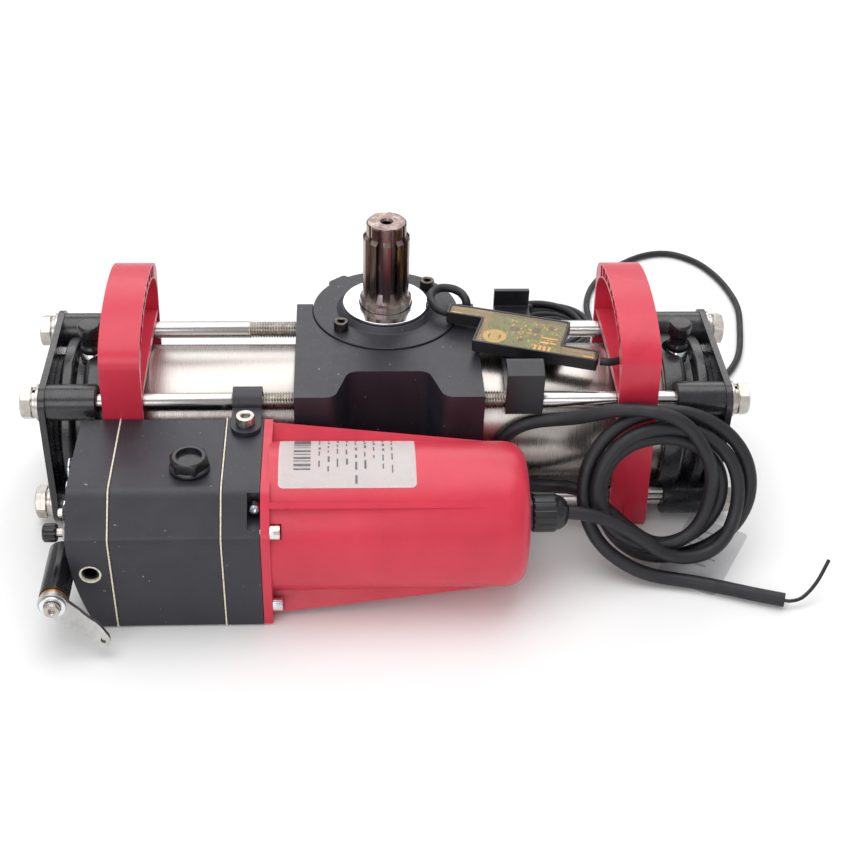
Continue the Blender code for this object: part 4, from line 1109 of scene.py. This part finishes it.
def make_cover():
    """Moulded cover: flange, can with a domed end, four gussets and sunk seats for the screws."""
    start, end, r = FLANGE_OUT, MOTOR_END, CAN_R
    flange = prism(unit_outline(-0.2), COVER_LOW.x, start, "X")
    cover = to_object("red_cover", flange)
    can = [(0, start - 1), (r, start - 1), (r - 0.7, end - 12)]
    can += bezier((r - 0.75, end - 11), (r - 1.2, end - 4), (r - 4.5, end - 0.4), (r - 12, end), 12)
    can.append((0, end))
    fuse(cover, lathe(can, "X", MOTOR_AXIS, ROUND))
    for y, z in ((34.4, 34.6), (20, -39.6), (-31, -39.6), (-28.7, 30.2)):
        reach, angle = math.hypot(y, z), math.atan2(z, y)
        fin = prism(((start - 1, 30), (start - 1, reach), (54, r - 0.9), (54, 30)), -1.5, 1.5)
        for vert in fin.verts:
            x, out, side = vert.co
            c, s = math.cos(angle), math.sin(angle)
            vert.co = (x, out * c - side * s, out * s + side * c)
        fuse(cover, moved(fin, MOTOR_AXIS))
    hollow = [(0, COVER_LOW.x - 1), (34.2, COVER_LOW.x - 1), (34.2, -53), (r - 2.4, -49), (r - 3, end - 12)]
    hollow += [(r - 6, end - 4.5), (r - 11, end - 2.4), (0, end - 2.4)]
    cut(cover, lathe(hollow, "X", MOTOR_AXIS, ROUND))
    gland = span("gland_nut")[2]
    cut(cover, rod(6.0, 60, 80, "X", (0, gland.y, gland.z), SMALL))
    for number in range(1, 5):
        mid = span(f"cover_screw_{number}")[2]
        cut(cover, rod(4.2, start - 0.2, -55.2, "X", (0, mid.y, mid.z), FINE))
        cut(cover, rod(2.4, -70, -60, "X", (0, mid.y, mid.z), SMALL))
    dressed(cover, LOOK["red"], nodes=("motor_cover",), bevel=0.5, angle=30)
    for number in range(1, 5):
        mid = span(f"cover_screw_{number}")[2]
        name = f"cover_screw_{number}"
        socket_head(name + "_socket", name, mid, "X", start + 0.1, 3.7, 5.0, 3.2, "zinc")


def can_patch(x0, x1, first, last, lift, steps=24, corner=0.0):
    """A thin sheet on the can's surface, between two angles in degrees from the top towards the front."""
    shape = bmesh.new()
    rows = []
    swings = [corner * (1 - math.cos(math.radians(15 * k))) for k in range(7)] if corner else [0.0]
    stations = [x0 + swing for swing in swings] + [x1 - swing for swing in reversed(swings)]
    for x in stations:
        near = min(x - x0, x1 - x)
        trim = 0.0
        if corner and near < corner:
            trim = corner - math.sqrt(corner**2 - (corner - near) ** 2)
        row = []
        a0 = first + math.degrees(trim / CAN_R)
        a1 = last - math.degrees(trim / CAN_R)
        r = CAN_R - 0.7 * (x - FLANGE_OUT) / (MOTOR_END - 12 - FLANGE_OUT) + lift
        for step in range(steps + 1):
            angle = math.radians(90 + a0 + (a1 - a0) * step / steps)
            row.append(shape.verts.new((x, MOTOR.y + r * math.cos(angle), MOTOR.z + r * math.sin(angle))))
        rows.append(row)
    for row, after in zip(rows, rows[1:]):
        for k in range(steps):
            shape.faces.new((row[k], row[k + 1], after[k + 1], after[k]))
    bmesh.ops.solidify(shape, geom=shape.faces[:], thickness=0.1)
    return shape


def make_label():
    """A blank rating label: a bar block and rows of short rules in place of any wording."""
    piece("rating_label", can_patch(-57, 12, -32, 30, 0.12, 32, 2.5), LOOK["paper"])
    widths = ((-30, 11), (-17, 2.0), (-12.5, 1.0), (-8, 2.6), (-3, 1.2), (1, 2.2), (5, 0.9), (8.5, 2.4))
    bars = [can_patch(-49.5, -41, a, a + w, 0.24, 3) for a, w in (*widths, (13, 1.4))]
    rng = random.Random(7)
    for column in range(9):
        x = -37 + column * 4.6
        angle = -30.0
        while angle < rng.uniform(4, 20):
            length = rng.uniform(3, 9)
            bars.append(can_patch(x, x + rng.choice((0.7, 1.1)), angle, angle + length, 0.24, 3))
            angle += length + rng.uniform(2.5, 6)
    piece("rating_label_print", shapes_joined(*bars), LOOK["ink"])


def make_filler():
    """Filler plug: a hexagon head with a sunk round top on a flange."""
    _, high, mid = span("filler_plug")
    centre = (mid.x, mid.y, 0)
    seat = UNIT_TOP + 0.3
    flange = [(0, seat), (10.2, seat), (10.2, seat + 1.6), (9.0, seat + 2.4), (0, seat + 2.4)]
    plug = to_object("filler_cap", lathe(flange, centre=centre, ease=0.4))
    sides = hexagon(17.4, seat + 1, high.z + 1, "Z", centre, 0.35 + math.pi / 6)
    bound = [(0, seat), (9.9, seat), (9.9, high.z - 1.2), (8.2, high.z), (0, high.z)]
    head = combined(to_object("filler_head", sides), "INTERSECT", lathe(bound, centre=centre))
    shape = bmesh.new()
    shape.from_mesh(head.data)
    bmesh.ops.scale(shape, vec=(1 / MM,) * 3, verts=shape.verts)
    bpy.data.objects.remove(head)
    fuse(plug, shape)
    sunk = [(0, high.z - 2.2), (6.2, high.z - 2.2), (6.8, high.z + 1), (0, high.z + 1)]
    cut(plug, lathe(sunk, centre=centre))
    dressed(plug, LOOK["knob"], nodes=("filler_plug",), bevel=0.35, angle=28)


def make_hanger():
    """A strip hooked over the front upper bolt, with a round tongue screwed to the pump body."""
    low, high, mid = span("hanger_bracket")
    _, y, z = bolt_axes("left")[0]
    wall, thick = 5.35, 2.6
    over = arc(wall + thick, 0, 180, 25, (y, z)) + [(y - wall - thick, 80.6), (-91.0, 80.6), (-91.0, 78.3)]
    under = [(y - wall - 0.2, 78.3)] + list(reversed(arc(wall, 0, 170, 25, (y, z))))
    bracket = to_object("hanger_strip", prism(over + under, low.x, high.x, "X"))
    reach = (high.x - low.x) / 2
    tongue = [(low.x, -90.0)] + arc(reach, 180, 360, 33, (mid.x, -97.4)) + [(high.x, -90.0)]
    fuse(bracket, prism(tongue, 78.3, 80.6))
    screw = span("hanger_screw")[2]
    cut(bracket, rod(3.3, 70, 90, centre=(screw.x, screw.y, 0), steps=SMALL))
    dressed(bracket, LOOK["case"], nodes=("hanger_bracket",), bevel=0.4)
    socket_head("hanger_socket", "hanger_screw", screw, "Z", 80.9, 5.0, 5.0, 4.3, "bolt")


def make_release():
    """Release lever on its boss: bronze bush, bent steel lever and its screw."""
    boss_low = span("lever_boss")[0]
    screw = span("lever_screw")[2]
    axis = (screw.x, 0, screw.z)
    profile = [(0, boss_low.y), (6.3, boss_low.y), (6.3, boss_low.y + 2.3), (7.5, boss_low.y + 2.3)]
    profile += [(7.5, -139.6), (0, -139.6)]
    boss = to_object("lever_housing", lathe(profile, "Y", axis, FINE, ease=0.4))
    cut(boss, block((-160.8, -180, 0), (-150, -130, 60)))
    cut(boss, rod(3.2, -180, -150, "Y", axis, SMALL))
    dressed(boss, LOOK["knob"], nodes=("lever_boss",), angle=28)
    bush = ring(3.2, 7.0, boss_low.y - 0.2, boss_low.y + 2.1, "Y", axis, ease=0.3)
    piece("lever_bush", bush, LOOK["bronze"])
    long, angle = 31.0, math.radians(-41.8)
    plate = arc(7.5, 60, 290, 40) + bezier((2.6, -7.0), (10, -7.2), (20, -6.0), (long, -4.2), 10)
    plate += arc(4.2, -80, 80, 17, (long - 0.8, 0))
    plate += bezier((long - 2, 4.2), (24, 5.2), (20, 3.4), (12, 5.6), 10)
    lever = prism(plate, 0, 2.2, "Y")
    bend_start = long - 9
    for along in (bend_start, bend_start + 1.5, bend_start + 3):
        parts = lever.verts[:] + lever.edges[:] + lever.faces[:]
        bmesh.ops.bisect_plane(lever, geom=parts, plane_co=(along, 0, 0), plane_no=(1, 0, 0))
    for vert in lever.verts:
        past = max(0.0, vert.co.x - bend_start)
        vert.co.y -= 0.45 * past - min(0.45, 0.15 * past)
    lever = moved(turned(lever, "Y", -angle), (axis[0], -179.5, axis[2]))
    handle = to_object("steel_lever", lever)
    cut(handle, rod(3.2, -190, -170, "Y", axis, SMALL))
    tip = (axis[0] + long * math.cos(angle), 0, axis[2] + long * math.sin(angle))
    cut(handle, rod(1.4, -195, -170, "Y", tip, SMALL))
    dressed(handle, LOOK["lever"], "lever", ("release_lever",), bevel=0.3, angle=30)
    washer = ring(4.3, 6.4, -181.0, -179.75, "Y", axis, ease=0.3)
    piece("lever_washer", washer, LOOK["zinc"], "lever")
    socket_head("lever_socket", "lever_screw", axis, "Y", -180.9, 4.0, 3.3, 3.0, "bolt", -1, "lever")


def spots_round(mid, radius, count):
    """Centres evenly round an axis along X."""
    angles = [k * math.tau / count for k in range(count)]
    return [(0, mid.y + radius * math.cos(a), mid.z + radius * math.sin(a)) for a in angles]


def make_adjuster():
    """By-pass knob, fluted, on its bright screw."""
    low, high, mid = span("adjuster")
    axis = (0, mid.y, mid.z)
    knob = [(0, low.x), (3.9, low.x), (4.8, low.x + 1.0), (4.8, low.x + 6.2), (4.2, low.x + 7.1)]
    knob.append((0, low.x + 7.1))
    obj = to_object("adjuster_knob", lathe(knob, "X", axis, FINE, ease=0.4))
    cut(obj, *[rod(0.8, low.x - 1, low.x + 9, "X", spot, 16) for spot in spots_round(mid, 5.1, 10)])
    dressed(obj, LOOK["knob"], "adjuster", ("adjuster",), angle=28)
    piece("adjuster_stem", rod(2.4, low.x + 7.0, high.x, "X", axis, SMALL), LOOK["bolt"], "adjuster")
    nut = hexagon(8, VALVE_LOW.x - 3.1, VALVE_LOW.x - 0.2, "X", axis, 0.2)
    piece("adjuster_nut", nut, LOOK["bolt"], bevel=0.3)


def make_gland():
    """Cable gland: a hexagon body and a ribbed dome nut that grips the cable."""
    low, high, mid = span("gland_nut")
    end = span("gland_body")[1].x
    axis = (0, mid.y, mid.z)
    bore = MOTOR_CABLE / 2 + 0.25
    sides = hexagon(19, MOTOR_END + 0.2, end, "X", axis)
    body = combined(to_object("gland_hexagon", sides), "INTERSECT", rod(10.6, 60, 90, "X", axis, FINE))
    fuse(body, rod(5.6, 60, end - 1, "X", axis, SMALL))
    cut(body, rod(bore, 50, 80, "X", axis, SMALL))
    dressed(body, LOOK["black"], nodes=("gland_body",), bevel=0.3)
    profile = [(bore, low.x), (9.8, low.x), (10.4, low.x + 0.9), (10.4, low.x + 11.7), (9.3, low.x + 13.0)]
    profile += [(8.9, low.x + 14.6), (7.8, low.x + 16.6), (5.6, high.x), (bore, high.x)]
    nut = to_object("gland_dome", lathe(profile, "X", axis, FINE, True, 0.6))
    cut(nut, *[rod(1.05, low.x - 1, low.x + 12.0, "X", spot, 12) for spot in spots_round(mid, 11.0, 16)])
    dressed(nut, LOOK["black"], nodes=("gland_nut",), angle=30)


# ---- Sensor ----

TRAY_YAW = math.radians(-17)
TRAY_CORNER = Vector((47.7, -47.7))


def in_tray(u, v):
    c, s = math.cos(TRAY_YAW), math.sin(TRAY_YAW)
    return (TRAY_CORNER.x + u * c - v * s, TRAY_CORNER.y + u * s + v * c)


def tray_plan(inset=0.0):
    """The tray's Z-shaped plan in its own axes, drawn in by a wall's thickness."""
    a = inset
    corners = [(a - 2.5, a), (66 - a, a), (66 - a, 10 - a), (46 - a, 10 - a), (46 - a, 34 - a)]
    corners += [(-22.5 + a, 34 - a), (-22.5 + a, 24 + a), (a - 2.5, 24 + a)]
    return [in_tray(u, v) for u, v in eased(corners, 1.2, True)]


def in_tray_block(u0, v0, u1, v1, low, high):
    return prism([in_tray(u, v) for u, v in ((u0, v0), (u1, v0), (u1, v1), (u0, v1))], low, high)


def make_sensor():
    """Potted sensor: an open tray, a board with its components, and clear amber resin over them."""
    low, high, _ = span("sensor_clip")
    strip = [(-83.2, 75.7), (-83.2, 100.2), (-75.6, 103), (-70.6, 103), (-70.6, 91), (0.6, 91)]
    strip += [(0.6, 101), (3.6, 101), (3.6, 75.7), (0.6, 75.7), (0.6, 88), (-80.0, 88), (-80.0, 75.7)]
    bracket = prism(strip, low.x, high.x, "X")
    piece("sensor_bracket", bracket, LOOK["black"], nodes=("sensor_clip",), bevel=0.4)
    base, top = span("sensor_tray")[0].z, span("sensor_tray")[1].z
    tray = to_object("sensor_box", prism(tray_plan(), base, top))
    cut(tray, prism(tray_plan(1.3), base + 1.5, top + 1))
    dressed(tray, LOOK["black"], nodes=("sensor_tray",), bevel=0.3)
    floor = base + 1.55
    piece("sensor_board", in_tray_block(2.2, 2.2, 43.5, 31, floor, floor + 1.3), LOOK["board"], bevel=0.1)
    piece("sensor_resin", prism(tray_plan(1.32), base + 1.52, top - 0.35), LOOK["resin"], bevel=0.25)
    deck = floor + 1.3
    lamp = in_tray_block(5.5, 6.5, 10.5, 14.0, deck, deck + 2.0)
    piece("sensor_lamp", lamp, LOOK["paper"], bevel=0.4)
    lens = ring(3.6, 6.6, deck, deck + 1.5, centre=(*in_tray(8.0, 10.2), 0), ease=0.4)
    piece("sensor_lens_ring", lens, LOOK["lamp"])
    chips = [in_tray_block(u, v, u + du, v + dv, deck, deck + h) for u, v, du, dv, h in
             ((14.5, 19, 5.5, 3.4, 1.2), (27, 20.5, 4.2, 4.2, 1.2), (21, 10, 3, 2.2, 1.0),
              (35, 25, 3, 3, 0.9))]
    piece("sensor_chips", shapes_joined(*chips), LOOK["chip"], bevel=0.12)
    rng = random.Random(3)
    pads = [in_tray_block(30.5 + 2.6 * k, 3.4, 31.9 + 2.6 * k, 8.5, deck, deck + 0.5) for k in range(4)]
    pads += [in_tray_block(33, v, 42, v + 1.4, deck, deck + 0.9) for v in (11, 15.5)]
    for _ in range(46):
        u, v = rng.uniform(13, 40), rng.uniform(4, 29)
        du, dv = rng.choice(((1.5, 0.8), (0.8, 1.5), (1.0, 1.0)))
        pads.append(in_tray_block(u, v, u + du, v + dv, deck + 0.02, deck + rng.uniform(0.4, 0.8)))
    pads.append(in_tray_block(-20.5, 26, -14.5, 27.6, floor, floor + 3.4))
    pads.append(in_tray_block(58, 3, 63.5, 4.6, floor, floor + 3.4))
    piece("sensor_parts", shapes_joined(*pads), LOOK["gold"])


# ---- Cable pieces ----


def make_cables():
    route = motor_route()
    motor = tube("motor_cable", route, MOTOR_CABLE, 7)
    dressed(motor, LOOK["cable"])
    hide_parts("motor_cable_start", "motor_cable_coil", "motor_cable_loop", "motor_cable_end")
    core = make_core(route[-1], (route[-1] - route[-2]).normalized())
    route = encoder_route()
    encoder = tube("encoder_lead", route, ENCODER_CABLE, 5)
    dressed(encoder, LOOK["cable"])
    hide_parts("encoder_cable", "encoder_coil")
    tie = make_tie()
    lead = tube("sensor_loop", smooth_route(SENSOR_LEAD, 1.5), SENSOR_CABLE, 7)
    dressed(lead, LOOK["cable"])
    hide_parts("sensor_lead")


def make_core(end, heading):
    """The one insulated conductor that stands out of the motor cable's cut end."""
    points = [end - heading * 2, end + heading * 3, end + Vector((10, 1, 1.0)), end + Vector((18, 7, 6)),
              end + Vector((25.1, 14.9, 14.5))]
    core = tube("cable_core", smooth_route(points, 1.0), 2.0, 4)
    return dressed(core, LOOK["knob"])


def make_tie():
    """A hook-and-loop band round the stored coil."""
    x = STORE_CENTRE.x - 24.5
    y = STORE_CENTRE.y
    outline = eased([(x - 7.3, 0.15), (x + 7.3, 0.15), (x + 7.3, 13.6), (x - 7.3, 13.6)], 3, True)
    hole = eased([(x - 6.6, 0.25), (x + 6.6, 0.25), (x + 6.6, 12.9), (x - 6.6, 12.9)], 3, True)
    band = prism(outline, y - 4, y + 4, "Y")
    obj = cut(to_object("coil_tie", band), prism(hole, y - 5, y + 5, "Y"))
    return dressed(obj, LOOK["rubber"], bevel=0.2)


def make_tag():
    """The cable's blank paper tag, flat on the floor."""
    centre = Vector((172, -112))
    long, wide = Vector((0.505, 0.863)), Vector((0.863, -0.505))
    corners = [centre + long * a * 29 + wide * b * 17 for a, b in ((-1, -1), (-1, 1), (1, 1), (1, -1))]
    piece("cable_tag", prism(eased([tuple(p) for p in corners], 3, True), 0.12, 0.4), LOOK["tag"])
    rules = []
    for k in range(5):
        start = centre + long * (20 - 7 * k) - wide * 12
        reach = wide * (20 - 3 * (k % 3))
        ends = [start, start + reach, start + reach - long * 1.2, start - long * 1.2]
        rules.append(prism([tuple(p) for p in ends], 0.38, 0.46))
    piece("cable_tag_rules", shapes_joined(*rules), LOOK["ink"])


# ---- Model nodes that show as they are ----

NODE_LOOKS = {
    "drive_pinion": "bright", "rack_bar": "bright", "piston_left": "bright", "piston_right": "bright",
    "upper_bush": "bronze", "lower_bush": "bronze", "shaft_seal": "rubber", "motor_stator": "winding",
    "motor_rotor": "bolt",
}


def finish_nodes():
    for node, look in NODE_LOOKS.items():
        obj = frame["nodes"][node]
        obj.data.materials.clear()
        obj.data.materials.append(LOOK[look])
        obj.data.set_sharp_from_angle(angle=math.radians(32))


def make_stage():
    """A pale floor, soft light from above and behind, and a weaker fill from the front."""
    size = 6.0
    mesh = bpy.data.meshes.new("floor")
    corners = [(-size, -size, 0), (size, -size, 0), (size, size, 0), (-size, size, 0)]
    mesh.from_pydata(corners, [], [(0, 1, 2, 3)])
    floor = bpy.data.objects.new("floor", mesh)
    mesh.materials.append(floor_finish())
    bpy.context.scene.collection.objects.link(floor)
    for name, place, to, width, height, power in (
        ("top_light", (-0.1, 0.1, 1.5), (0, 0, 0), 1.9, 1.3, 17),
        ("rear_light", (0.1, 1.7, 1.25), (0, 0, 0.05), 2.4, 0.9, 12),
        ("front_light", (-0.6, -1.6, 0.9), (0, 0, 0.05), 1.4, 0.8, 8),
    ):
        light = bpy.data.lights.new(name, "AREA")
        light.shape = "RECTANGLE"
        light.size, light.size_y = width, height
        light.energy = power
        obj = bpy.data.objects.new(name, light)
        obj.location = place
        obj.rotation_euler = (Vector(place) - Vector(to)).to_track_quat("Z", "Y").to_euler()
        bpy.context.scene.collection.objects.link(obj)
    world = bpy.data.worlds.new("studio")
    bpy.context.scene.world = world
    world.use_nodes = True
    world.node_tree.nodes["Background"].inputs["Color"].default_value = (1, 1, 1, 1)
    world.node_tree.nodes["Background"].inputs["Strength"].default_value = 0.55
    bpy.context.scene.view_settings.view_transform = "Standard"


make_camera()
make_stage()
make_cables()
make_housing()
make_shaft()
make_tubes()
make_heads()
make_tie_bolts()
make_straps()
make_blocks()
make_side_plug()
make_window_screw()
make_valve_ports()
make_cover()
make_label()
make_filler()
make_hanger()
make_release()
make_adjuster()
make_gland()
make_sensor()
make_tag()
finish_nodes()
